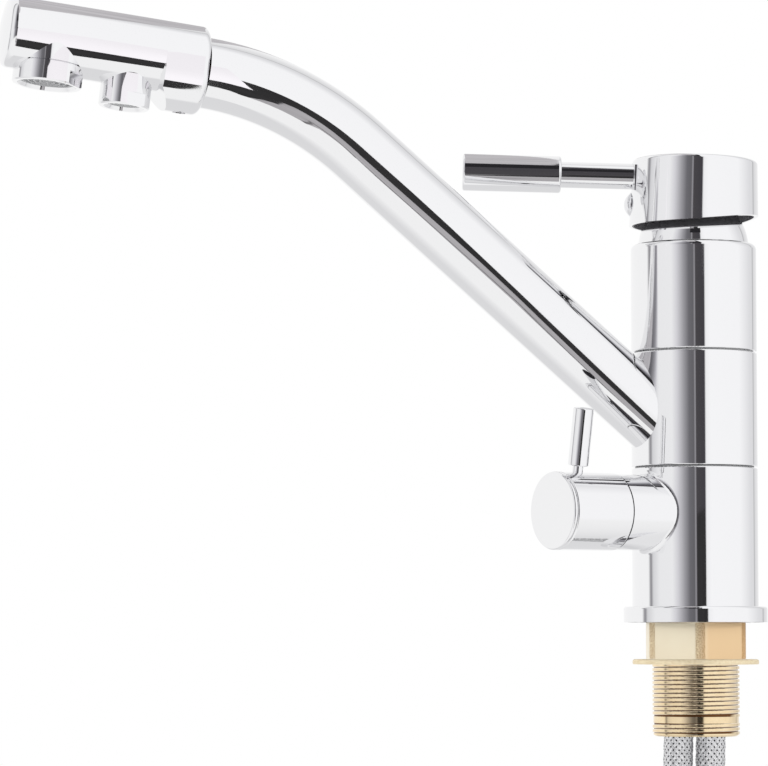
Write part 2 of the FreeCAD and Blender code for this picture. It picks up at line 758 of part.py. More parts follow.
def make_cartridge():
    """Ceramic-disc cartridge: base, seals, discs, case, rotor and the ring nut that holds it down."""
    port = S.cartridge_port_dia
    seal_ring = port + S.seal_wire * 2
    spots = [circle_spot(angle) for angle in (HOT_ANGLE, COLD_ANGLE, FILTER_ANGLE)]
    base = new_body("cartridge_base_body")
    revolve(base, "base_disc", ring_corners(ZERO, S.cartridge_dia, CORE_TOP, DISC_FLOOR))
    pocket_circles(base, "base_ports", "XY_Plane", CORE_TOP, [(x, y, seal_ring) for x, y in spots],
                   S.base_thick + 1.0, True)
    keep(base, "cartridge_base")
    seals = new_body("cartridge_seals_body")
    seals.AllowCompound = True
    sketch = new_sketch(seals, "seal_rings", "XY_Plane", CORE_TOP)
    draw_circles(sketch, [(x, y, seal_ring) for x, y in spots])
    draw_circles(sketch, [(x, y, port) for x, y in spots])
    pad = seals.newObject("PartDesign::Pad", "seal_height")
    pad.Profile = sketch
    pad.setExpression("Length", S.base_thick.text)
    doc.recompute()
    keep(seals, "cartridge_seals")
    fixed = new_body("fixed_disc_body")
    revolve(fixed, "fixed_disc_blank", ring_corners(ZERO, S.disc_dia, DISC_FLOOR, DISC_TOP))
    pocket_circles(fixed, "disc_ports", "XY_Plane", DISC_FLOOR, [(x, y, port - 1.0) for x, y in spots],
                   S.fixed_disc_thick + 1.0, True)
    keep(fixed, "fixed_disc")
    moving_low = DISC_TOP + S.running_gap
    moving_top = moving_low + S.moving_disc_thick
    back = Vector(-S.ball_drop.number * math.sin(math.radians(S.stem_lean.number)), 0, 0)
    slide_place = ROTOR_PLACE.multiply(Placement(back, Rotation()))
    disc = new_body("moving_disc_body")
    revolve(disc, "moving_disc_blank", ring_corners(ZERO, S.moving_dia, moving_low, moving_top))
    pocket_circles(disc, "mixing_hollow", "XY_Plane", moving_low, ((ZERO, ZERO, S.moving_dia * 0.6),),
                   S.moving_disc_thick * 0.5, True)
    keep(disc, "moving_disc", slide_place)
    carrier_top = moving_top + S.carrier_height
    carrier = new_body("disc_carrier_body")
    revolve(carrier, "carrier_blank", ring_corners(ZERO, S.moving_dia, moving_top, carrier_top))
    pocket_circles(carrier, "ball_socket", "XY_Plane", moving_top + S.socket_floor,
                   ((ZERO, ZERO, S.ball_dia + S.clear_gap * 2),), S.carrier_height, True)
    keep(carrier, "disc_carrier", slide_place)
    rotor_low = carrier_top + S.clear_gap
    flange_top = rotor_low + S.rotor_flange_height
    case_wall = S.cartridge_dia / 2 - S.case_wall
    case_bore = S.rotor_dia / 2 + S.running_gap
    ceiling = flange_top + S.running_gap
    case = turned_part("cartridge_case", (
        (case_wall, DISC_FLOOR),
        (S.cartridge_dia / 2, DISC_FLOOR),
        (S.cartridge_dia / 2, CASE_SHOULDER),
        (S.cartridge_neck_dia / 2, CASE_SHOULDER),
        (S.cartridge_neck_dia / 2, CASE_TOP),
        (case_bore, CASE_TOP),
        (case_bore, ceiling),
        (case_wall, ceiling)))
    keep(case, "cartridge_case")
    nut = turned_part("cartridge_nut", ring_corners(
        S.cartridge_neck_dia + S.clear_gap, S.nut_recess_dia, NUT_BOTTOM, NUT_TOP))
    keep(nut, "cartridge_nut")
    rotor = turned_part("cartridge_rotor", (
        (ZERO, rotor_low),
        (S.rotor_flange_dia / 2, rotor_low),
        (S.rotor_flange_dia / 2, flange_top),
        (S.rotor_dia / 2, flange_top),
        (S.rotor_dia / 2, PIVOT + S.rotor_top_rise),
        (ZERO, PIVOT + S.rotor_top_rise)))
    slot_length = S.rotor_dia - S.rotor_slot_wall * 2
    slot_width = S.stem_width + S.clear_gap * 2
    corner = Vector(-slot_length.number / 2, -slot_width.number / 2, rotor_low.number - 1.0)
    slot = primitive("Box", "rotor_slot", Placement(corner, Rotation()), Length=slot_length,
                     Width=slot_width, Height=PIVOT + S.rotor_top_rise - rotor_low + 2.0)
    pin_place = along(Vector(0, 1, 0), Vector(0, -S.rotor_dia.number, PIVOT.number))
    pin_hole = primitive("Cylinder", "rotor_pin_hole", pin_place,
                         Radius=S.pivot_dia / 2 + S.running_gap, Height=S.rotor_dia * 2)
    keep(taken_away("rotor_cut", rotor, [slot, pin_hole]), "cartridge_rotor", ROTOR_PLACE)


def make_stem():
    """Cartridge stem: pivot pin, square upper arm for the lever and a ball-ended tail for the discs."""
    half = S.stem_width.number / 2
    pin = primitive("Cylinder", "stem_pin", along(Vector(0, 1, 0), Vector(0, -S.pivot_length.number / 2, 0)),
                    Radius=S.pivot_dia / 2, Height=S.pivot_length)
    arm = primitive("Box", "stem_arm", Placement(Vector(-half, -half, -half), Rotation()),
                    Length=S.stem_width, Width=S.stem_width, Height=S.stem_up + S.stem_width / 2)
    tail = primitive("Cylinder", "stem_tail", Placement(Vector(0, 0, -S.ball_drop.number), Rotation()),
                     Radius=S.stem_tail_dia / 2, Height=S.ball_drop)
    ball = primitive("Sphere", "stem_ball", Placement(Vector(0, 0, -S.ball_drop.number), Rotation()),
                     Radius=S.ball_dia / 2)
    keep(joined_up("stem_union", [pin, arm, tail, ball]), "cartridge_stem", STEM_PLACE)


def make_lever():
    """Cap over the dome, with its rod, grip, index plug and grub screw, drawn from the pivot."""
    top = S.body_dia / 2
    skirt = S.cap_skirt_dia / 2
    low = S.cap_rise - S.cap_crown - S.cap_blank_height
    edge_height = S.cap_rise - S.cap_crown
    roof = S.cap_rise - S.cap_roof
    rim = top - S.cap_edge_round
    crown_radius = (rim * rim + S.cap_crown * S.cap_crown) / (S.cap_crown * 2)
    body = new_body("lever_cap_body")
    revolve(body, "cap_shell", (
        (skirt - S.cap_wall, low),
        (skirt, low),
        (top, edge_height - S.cap_edge_round),
        (rim, edge_height, S.cap_edge_round, 1),
        (ZERO, S.cap_rise, crown_radius, 1),
        (ZERO, roof),
        (top - S.cap_wall, roof)))
    before = body.Shape.Volume
    slant = new_sketch(body, "skirt_slant", "XZ_Plane")
    far = S.cap_skirt_dia * 0.6
    draw_outline(slant, (
        (-far, low - 5.0), (far, low - 5.0), (far, S.cap_rise - S.skirt_front_drop),
        (-far, S.cap_rise - S.skirt_back_drop, S.skirt_arc_radius, -1)))
    cut = body.newObject("PartDesign::Pocket", "skirt_cut")
    cut.Profile = slant
    cut.setExpression("Length", (S.cap_skirt_dia * 1.2).text)
    cut.Midplane = True
    doc.recompute()
    require_less(body, before, "skirt_cut")
    lean = S.stem_lean + S.lever_tilt
    boss_place = Placement(Vector(0, 0, 0), Rotation(Vector(0, 1, 0), lean.number))
    stem_frame = boss_place.multiply(Placement(Vector(0, 0, (S.cap_rise - S.boss_drop).number), Rotation()))
    boss = primitive("Cylinder", "cap_boss", stem_frame, Radius=S.boss_dia / 2,
                     Height=S.boss_drop - S.cap_roof / 2 - 1.0)
    socket = S.stem_width + SLIP_FIT * 2
    half = socket.number / 2
    square = primitive("Box", "stem_socket",
                       boss_place.multiply(Placement(Vector(-half, -half, 0), Rotation())),
                       Length=socket, Width=socket, Height=S.stem_up + SLIP_FIT)
    rod_hole = primitive("Cylinder", "rod_hole",
                         along(Vector(1, 0, 0), Vector(S.rod_root_reach.number, 0, S.rod_rise.number)),
                         Radius=S.rod_dia / 2, Height=S.cap_skirt_dia)
    block_low = S.rod_rise - S.rod_dia / 2 - S.rod_block_under
    block_corner = Vector(S.rod_block_reach.number, -S.rod_block_width.number / 2, block_low.number)
    block = primitive("Box", "rod_block", Placement(block_corner, Rotation()),
                      Length=top - S.rod_block_reach - 0.5, Width=S.rod_block_width,
                      Height=roof - block_low + 0.5)
    plug_hole = primitive("Cylinder", "plug_hole",
                          along(Vector(1, 0, 0), Vector(S.rod_block_reach.number, 0, S.plug_rise.number)),
                          Radius=S.plug_dia / 2, Height=S.cap_skirt_dia)
    screw_hole = primitive("Cylinder", "screw_hole",
                           along(Vector(1, 0, 0), Vector(0, 0, S.plug_rise.number)),
                           Radius=S.lever_screw_dia / 2, Height=S.cap_skirt_dia)
    shell = joined_up("cap_with_boss", [body, boss, block])
    keep(taken_away("cap_cut", shell, [square, rod_hole, plug_hole, screw_hole]), "lever_cap", LEVER_PLACE)
    rod_place = LEVER_PLACE.multiply(along(Vector(1, 0, 0), Vector(0, 0, S.rod_rise.number)))
    neck = S.rod_dia / 2
    rod = turned_part("lever_rod", (
        (ZERO, S.rod_root_reach),
        (neck, S.rod_root_reach),
        (neck, S.grip_start_reach + S.grip_socket - 1.0),
        (ZERO, S.grip_start_reach + S.grip_socket - 1.0)))
    keep(rod, "lever_rod", rod_place)
    grip_round = S.edge_round * 2
    grip = turned_part("lever_grip", (
        (neck, S.grip_start_reach),
        (S.grip_dia / 2 - grip_round, S.grip_start_reach),
        (S.grip_dia / 2, S.grip_start_reach + grip_round, grip_round, 1),
        (S.grip_dia / 2, S.grip_end_reach - grip_round),
        (S.grip_dia / 2 - grip_round, S.grip_end_reach, grip_round, 1),
        (ZERO, S.grip_end_reach),
        (ZERO, S.grip_start_reach + S.grip_socket),
        (neck, S.grip_start_reach + S.grip_socket)))
    keep(grip, "lever_grip", rod_place)
    face = top + (skirt - top) * 0.5
    plug_radius = S.plug_dia / 2 - 0.1
    dome_radius = (plug_radius * plug_radius + S.plug_dome * S.plug_dome) / (S.plug_dome * 2)
    plug = turned_part("index_plug", (
        (ZERO, face - S.cap_wall - S.plug_depth),
        (plug_radius, face - S.cap_wall - S.plug_depth),
        (plug_radius, face),
        (ZERO, face + S.plug_dome, dome_radius, 1)))
    plug_place = LEVER_PLACE.multiply(along(Vector(1, 0, 0), Vector(0, 0, S.plug_rise.number)))
    keep(plug, "index_plug", plug_place)
    lean_angle = math.radians(lean.number)
    stem_face = S.plug_rise * math.tan(lean_angle) + S.stem_width * (0.5 / math.cos(lean_angle)) + 0.6
    screw = new_body("lever_screw_body")
    screw_end = stem_face + S.lever_screw_length
    revolve(screw, "screw_blank", ring_corners(ZERO, S.lever_screw_dia, stem_face, screw_end))
    hexagon(screw, "screw_key", S.screw_key_flats, screw_end, S.screw_key_depth)
    keep(screw, "lever_screw", plug_place)


def hexagon_corners(across_flats, turn=0.0):
    radius = across_flats / math.sqrt(3.0)
    angles = [math.radians(60.0 * corner + turn) for corner in range(6)]
    return [(radius * math.cos(angle), radius * math.sin(angle)) for angle in angles]


def hexagon(body, name, across_flats, height, depth):
    """Sinks a hexagon socket into the face at a height."""
    before = body.Shape.Volume
    sketch = new_sketch(body, name + "_sketch", "XY_Plane", height)
    draw_outline(sketch, hexagon_corners(across_flats))
    pocket = body.newObject("PartDesign::Pocket", name)
    pocket.Profile = sketch
    pocket.setExpression("Length", depth.text)
    doc.recompute()
    require_less(body, before, name)


def hex_nut(name, across_flats, bore_dia, low, high, chamfer, turn=0.0):
    """A hexagon nut: a six-sided prism whose corners are turned off at both ends."""
    body = new_body(name + "_body")
    sketch = new_sketch(body, name + "_hexagon", "XY_Plane", low)
    draw_outline(sketch, hexagon_corners(across_flats, turn))
    pad = body.newObject("PartDesign::Pad", name + "_prism")
    pad.Profile = sketch
    pad.setExpression("Length", (high - low).text)
    doc.recompute()
    corner = across_flats / math.sqrt(3.0) + 1.0
    flat = across_flats / 2
    for end, face, inward in (("low", low, 1.0), ("high", high, -1.0)):
        groove(body, "%s_%s_turning" % (name, end), (
            (flat, face), (corner, face + (corner - flat) * (inward * 0.5)), (corner, face)))
    pocket_circles(body, name + "_bore", "XY_Plane", low, ((ZERO, ZERO, bore_dia),), high - low + 1.0, True)
    return body


def spout_frame_point(run):
    """Where the spout's centreline is after a straight run from the axis."""
    return cosine(S.tube_slope) * run, S.tube_start_height + sine(S.tube_slope) * run


BEND_START = spout_frame_point(S.straight_run)
BEND_END = (BEND_START[0] + S.bend_radius * (sine(S.tube_slope) - sine(S.head_slope)),
            BEND_START[1] + S.bend_radius * (cosine(S.head_slope) - cosine(S.tube_slope)))


def add_pipe(body, name, start_run, beyond, outer_dia, inner_dia):
    """A tube along the spout's centreline from a run near the axis to a length past the bend."""
    path = new_sketch(body, name + "_path", "XZ_Plane")
    start = spout_frame_point(start_run)
    end = (BEND_END[0] + cosine(S.head_slope) * beyond, BEND_END[1] + sine(S.head_slope) * beyond)
    draw_outline(path, (start, BEND_START, (BEND_END[0], BEND_END[1], S.bend_radius, -1), end), closed=False)
    doc.recompute()
    passes = (("wall", outer_dia, "AdditivePipe"), ("bore", inner_dia, "SubtractivePipe"))
    for part, diameter, kind in passes:
        section = body.newObject("Sketcher::SketchObject", "%s_%s_section" % (name, part))
        section.AttachmentSupport = [(path, "Edge1")]
        section.MapMode = "NormalToEdge"
        section.MapPathParameter = 0.0
        draw_circles(section, ((ZERO, ZERO, diameter),))
        doc.recompute()
        pipe = body.newObject("PartDesign::" + kind, "%s_%s" % (name, part))
        pipe.Profile = section
        pipe.Spine = (path, ["Edge1", "Edge2", "Edge3"])
        doc.recompute()


def make_spout_ring():
    """Ring that turns on the core. Its two chambers feed the filtered and the mixed water to the spout."""
    barrel = S.body_dia / 2
    land = S.core_dia / 2 + S.running_gap
    chamber = land + S.chamber_depth
    rounding = S.edge_round
    low = RING_BOTTOM
    filter_low = low + S.filter_chamber_rise
    mixed_low = low + S.mixed_chamber_rise
    blank = turned_part("swivel_ring", (
        (land, low),
        (barrel - rounding, low),
        (barrel, low + rounding, rounding, 1),
        (barrel, RING_TOP - rounding),
        (barrel - rounding, RING_TOP, rounding, 1),
        (land, RING_TOP),
        (land, mixed_low + S.mixed_chamber_height),
        (chamber, mixed_low + S.mixed_chamber_height),
        (chamber, mixed_low),
        (land, mixed_low),
        (land, filter_low + S.filter_chamber_height),
        (chamber, filter_low + S.filter_chamber_height),
        (chamber, filter_low),
        (land, filter_low)))
    slope = math.radians(S.tube_slope.number)
    rise = Vector(math.cos(slope), 0, math.sin(slope))
    across = Vector(-math.sin(slope), 0, math.cos(slope))
    axis_point = Vector(0, 0, S.tube_start_height.number)
    near = axis_point.add(Vector(rise).multiply(S.core_dia.number * 0.45))
    filter_port = primitive("Cylinder", "filter_port", along(rise, near),
                            Radius=S.filter_tube_dia / 2 + SLIP_FIT, Height=S.core_dia)
    start_reach = (barrel - S.mixed_port_inset).number
    start_run = (start_reach + S.mixed_port_offset.number * math.sin(slope)) / math.cos(slope)
    mixed_base = axis_point.add(Vector(rise).multiply(start_run)).add(
        Vector(across).multiply(S.mixed_port_offset.number))
    mixed_port = primitive("Cylinder", "mixed_port", along(rise, mixed_base), Radius=S.mixed_port_dia / 2,
                           Height=S.core_dia)
    keep(taken_away("swivel_ring_cut", blank, [filter_port, mixed_port]), "swivel_ring", SPOUT_PLACE)


def make_spout_tube():
    """Spout tube, coped to the ring, and the filtered water's own tube inside it."""
    body = new_body("spout_tube_body")
    add_pipe(body, "spout_tube", S.tube_start_run, ZERO + TOUCH, S.tube_dia, S.tube_dia - S.tube_wall * 2)
    cope = primitive("Cylinder", "ring_cope", Placement(Vector(0, 0, 0), Rotation()),
                     Radius=S.body_dia / 2, Height=SHOULDER)
    keep(taken_away("spout_tube_coped", body, [cope]), "spout_tube", SPOUT_PLACE)
    inner = new_body("filter_tube_body")
    add_pipe(inner, "filter_tube", S.filter_tube_start_run, S.spigot_in_head, S.filter_tube_dia,
             S.filter_tube_dia - S.filter_tube_wall * 2)
    inner_cope = primitive("Cylinder", "chamber_cope", Placement(Vector(0, 0, 0), Rotation()),
                           Radius=S.core_dia / 2 + S.running_gap + S.chamber_depth, Height=SHOULDER)
    keep(taken_away("filter_tube_coped", inner, [inner_cope]), "filter_tube", SPOUT_PLACE)


# The spigot's frame stands at the end of the bend with +Z along the spout.
END_POINT = Vector(BEND_END[0].number, 0, BEND_END[1].number)
TUBE_END_PLACE = SPOUT_PLACE.multiply(
    Placement(END_POINT, Rotation(Vector(0, 1, 0), 90.0 - S.head_slope.number)))
# The head's frame has +X along the head, +Z up and its origin on the head's axis above the tube's end.
HEAD_PLACE = SPOUT_PLACE.multiply(
    Placement(END_POINT, Rotation(Vector(0, 1, 0), -S.head_slope.number))).multiply(
        Placement(Vector(0, 0, S.head_offset.number), Rotation()))


def make_spigot():
    """Insert in the tube's end: a web with holes round the filtered tube, and a spigot with an O-ring.

    Its inner end is tapered, because the tube is still bent there.
    """
    bore = S.tube_dia / 2 - S.tube_wall
    spigot = S.spigot_dia / 2
    seal_at = S.spigot_in_head * 0.5
    half_groove = S.spigot_groove_width / 2
    groove_floor = spigot - S.spigot_groove_depth
    tube_way = S.filter_tube_dia / 2 + SLIP_FIT
    body = new_body("head_spigot_body")
    revolve(body, "spigot_turning", (
        (tube_way + S.spigot_lead, -S.spigot_in_tube),
        (bore - S.spigot_lead, -S.spigot_in_tube),
        (bore - TOUCH, ZERO),
        (spigot, ZERO),
        (spigot, seal_at - half_groove),
        (groove_floor, seal_at - half_groove),
        (groove_floor, seal_at + half_groove),
        (spigot, seal_at + half_groove),
        (spigot, S.spigot_in_head),
        (tube_way, S.spigot_in_head),
        (tube_way, ZERO)))
    before = body.Shape.Volume
    sketch = new_sketch(body, "water_hole_sketch", "XY_Plane", -S.spigot_in_tube)
    draw_circles(sketch, ((S.spigot_hole_ring_dia / 2, ZERO, S.spigot_hole_dia),))
    hole = body.newObject("PartDesign::Pocket", "water_hole")
    hole.Profile = sketch
    hole.setExpression("Length", (S.spigot_in_tube + S.spigot_in_head + 1.0).text)
    hole.Reversed = True
    doc.recompute()
    pattern = body.newObject("PartDesign::PolarPattern", "water_holes")
    pattern.Originals = [hole]
    turn_about_body_axis(body, pattern)
    pattern.Angle = 360
    pattern.Occurrences = 6
    body.Tip = pattern
    doc.recompute()
    require_less(body, before, "water_holes")
    keep(body, "head_spigot", TUBE_END_PLACE)
    wire = S.spigot_groove_depth / 2
    ring = primitive("Torus", "spigot_oring_torus", None, Radius1=groove_floor + wire, Radius2=wire)
    seal_place = TUBE_END_PLACE.multiply(Placement(Vector(0, 0, seal_at.number), Rotation()))
    keep(ring, "spigot_oring", seal_place)


def turn_about_body_axis(body, pattern):
    axis = [feature for feature in body.Origin.OriginFeatures if feature.Role == "Z_Axis"][0]
    pattern.Axis = (axis, [""])


def make_spout_head():
    """Spout head: a barrel with a deep rear socket and two outlet seats, and its front cap."""
    radius = S.head_dia / 2
    body = new_body("spout_head_body")
    pad_circles(body, "head_barrel", "YZ_Plane", ZERO, ((ZERO, ZERO, S.head_dia),), S.head_length)
    bulge = new_sketch(body, "bulge_section", "YZ_Plane", ZERO)
    low = -S.bulge_drop
    draw_outline(bulge, (
        (-radius, low), (ZERO, low - radius, radius, 1), (radius, low, radius, 1),
        (radius, ZERO), (ZERO, radius, radius, 1), (-radius, ZERO, radius, 1)))
    pad = body.newObject("PartDesign::Pad", "rear_bulge")
    pad.Profile = bulge
    pad.setExpression("Length", S.bulge_foot_length.text)
    doc.recompute()
    before = body.Shape.Volume
    ramp = new_sketch(body, "bulge_ramp", "XZ_Plane")
    draw_outline(ramp, (
        (S.bulge_length, low - radius - 1.0),
        (S.bulge_foot_length + 1.0, low - radius - 1.0),
        (S.bulge_foot_length, -radius)))
    cut = body.newObject("PartDesign::Pocket", "ramp_cut")
    cut.Profile = ramp
    cut.setExpression("Length", (S.head_dia * 1.5).text)
    cut.Midplane = True
    doc.recompute()
    require_less(body, before, "ramp_cut")
    round_edges(body, "rear_edge", "Fillet", "Radius", S.head_rear_round,
                lambda edge: edge.BoundBox.XMax < 0.01)
    pad_circles(body, "main_seat", "XY_Plane", -S.main_seat_drop, ((S.main_reach, ZERO, S.main_dia),),
                S.main_seat_drop)
    pocket_circles(body, "spigot_socket", "YZ_Plane", ZERO,
                   ((ZERO, -S.head_offset, S.spigot_dia + S.running_gap * 2),), S.socket_depth, True)
    pocket_circles(body, "filter_passage", "YZ_Plane", S.socket_depth - 0.5,
                   ((ZERO, -S.head_offset, S.filter_tube_dia),), S.filter_reach - S.socket_depth + 2.0, True)
    pocket_circles(body, "mixed_passages", "YZ_Plane", S.socket_depth - 0.5,
                   ((-S.head_dia * 0.2, S.head_dia * 0.16, S.mixed_port_dia + 1.0),
                    (S.head_dia * 0.2, S.head_dia * 0.16, S.mixed_port_dia + 1.0)),
                   S.head_length - S.main_chamber_length - S.socket_depth + 2.0, True)
    pocket_circles(body, "main_chamber", "YZ_Plane", S.head_length, ((ZERO, ZERO, S.main_chamber_dia),),
                   S.main_chamber_length)
    pocket_circles(body, "main_seat_face", "XY_Plane", -S.main_drop,
                   ((S.main_reach, ZERO, S.main_dia + SLIP_FIT),),
                   S.main_drop - S.main_seat_drop, True)
    pocket_circles(body, "main_outlet", "XY_Plane", -S.main_seat_drop - 1.0,
                   ((S.main_reach, ZERO, S.main_mouth_dia - 1.0),), S.main_seat_drop, True)
    pocket_circles(body, "filter_seat", "XY_Plane", -S.filter_drop,
                   ((S.filter_reach, ZERO, S.filter_dia + SLIP_FIT),),
                   S.filter_drop - S.filter_seat_drop, True)
    pocket_circles(body, "filter_outlet", "XY_Plane", -S.filter_drop,
                   ((S.filter_reach, ZERO, S.filter_mouth_dia - 3.0),), S.filter_drop - S.head_offset, True)
    pocket_circles(body, "screw_bore", "XY_Plane", -S.filter_drop - 4.0,
                   ((S.head_screw_reach, ZERO, S.head_screw_dia),),
                   S.filter_drop + 4.0 - S.head_offset - S.spigot_dia / 2 + 1.0, True)
    keep(body, "spout_head", HEAD_PLACE)
    front = S.head_length
    nose = front + S.head_cap_length
    rim = radius - S.cap_face_round
    crown = S.head_cap_length - S.cap_rim - S.cap_face_round
    crown_radius = (rim * rim + crown * crown) / (crown * 2)
    cap = turned_part("head_cap", (
        (ZERO, front - S.cap_plug_length),
        (S.main_chamber_dia / 2 - 0.01, front - S.cap_plug_length),
        (S.main_chamber_dia / 2 - 0.01, front),
        (radius, front),
        (radius, front + S.cap_rim),
        (rim, front + S.cap_rim + S.cap_face_round, S.cap_face_round, 1),
        (ZERO, nose, crown_radius, 1)))
    keep(cap, "head_cap", HEAD_PLACE.multiply(along(Vector(1, 0, 0))))
    tip = S.head_offset + S.spigot_dia / 2
    length = S.bulge_drop + radius - tip - 0.8
    screw = new_body("head_screw_body")
    revolve(screw, "head_screw_blank", ring_corners(ZERO, S.head_screw_dia, tip, tip + length))
    hexagon(screw, "head_screw_key", ZERO + 2.5, tip + length, length * 0.5)
    screw_place = HEAD_PLACE.multiply(along(Vector(0, 0, -1), Vector(S.head_screw_reach.number, 0, 0)))
    keep(screw, "head_screw", screw_place)


def make_outlet(name, reach, outer_dia, mouth_dia, seat_drop, drop, flats, flat_turn):
    """An aerator under the head: a collar with spanner flats, a mesh insert and a flat seal."""
    place = HEAD_PLACE.multiply(along(Vector(0, 0, -1), Vector(reach.number, 0, 0)))
    chamfer = S.outlet_chamfer
    outer = outer_dia / 2
    mouth = mouth_dia / 2
    lip_inner = mouth - 1.2
    top = seat_drop + SLIP_FIT
    ledge = top + S.outlet_seal_thick
    collar = turned_part(name + "_turned", (
        (mouth, top),
        (outer - chamfer, top),
        (outer, top + chamfer),
        (outer, drop - chamfer),
        (outer - chamfer, drop),
        (mouth - 0.4, drop),
        (lip_inner, drop - S.outlet_recess),
        (mouth, drop - S.outlet_recess)))
    flat_way = HEAD_PLACE.Rotation.multVec(on_circle(1.0, flat_turn.number))
    flat_way = place.Rotation.inverted().multVec(flat_way)
    turn = math.degrees(math.atan2(flat_way.y, flat_way.x))
    cuts = []
    for side in (0.0, 180.0):
        corner = Vector(flats.number / 2, -outer.number, (drop - S.flat_height).number)
        flat_place = about_z(turn + side).multiply(Placement(corner, Rotation()))
        cuts.append(primitive("Box", name + "_flat", flat_place, Length=outer, Width=outer_dia,
                              Height=S.flat_height * 1.5))
    keep(taken_away(name + "_flats", collar, cuts), name + "_collar", place)
    insert = turned_part(name + "_insert", (
        (ZERO, ledge),
        (mouth - 0.05, ledge),
        (mouth - 0.05, drop - S.outlet_recess - 0.01),
        (lip_inner * 0.82, drop - S.outlet_recess - 0.01),
        (lip_inner * 0.80, drop - S.outlet_recess + 0.4),
        (lip_inner * 0.55, drop - S.outlet_recess + 0.4),
        (lip_inner * 0.53, drop - S.outlet_recess - 0.01),
        (ZERO, drop - S.outlet_recess - 0.01)))
    keep(insert, name + "_insert", place)
    seal = turned_part(name + "_seal", ring_corners(mouth_dia * 0.62, mouth_dia - 0.1, top, ledge))
    keep(seal, name + "_seal", place)


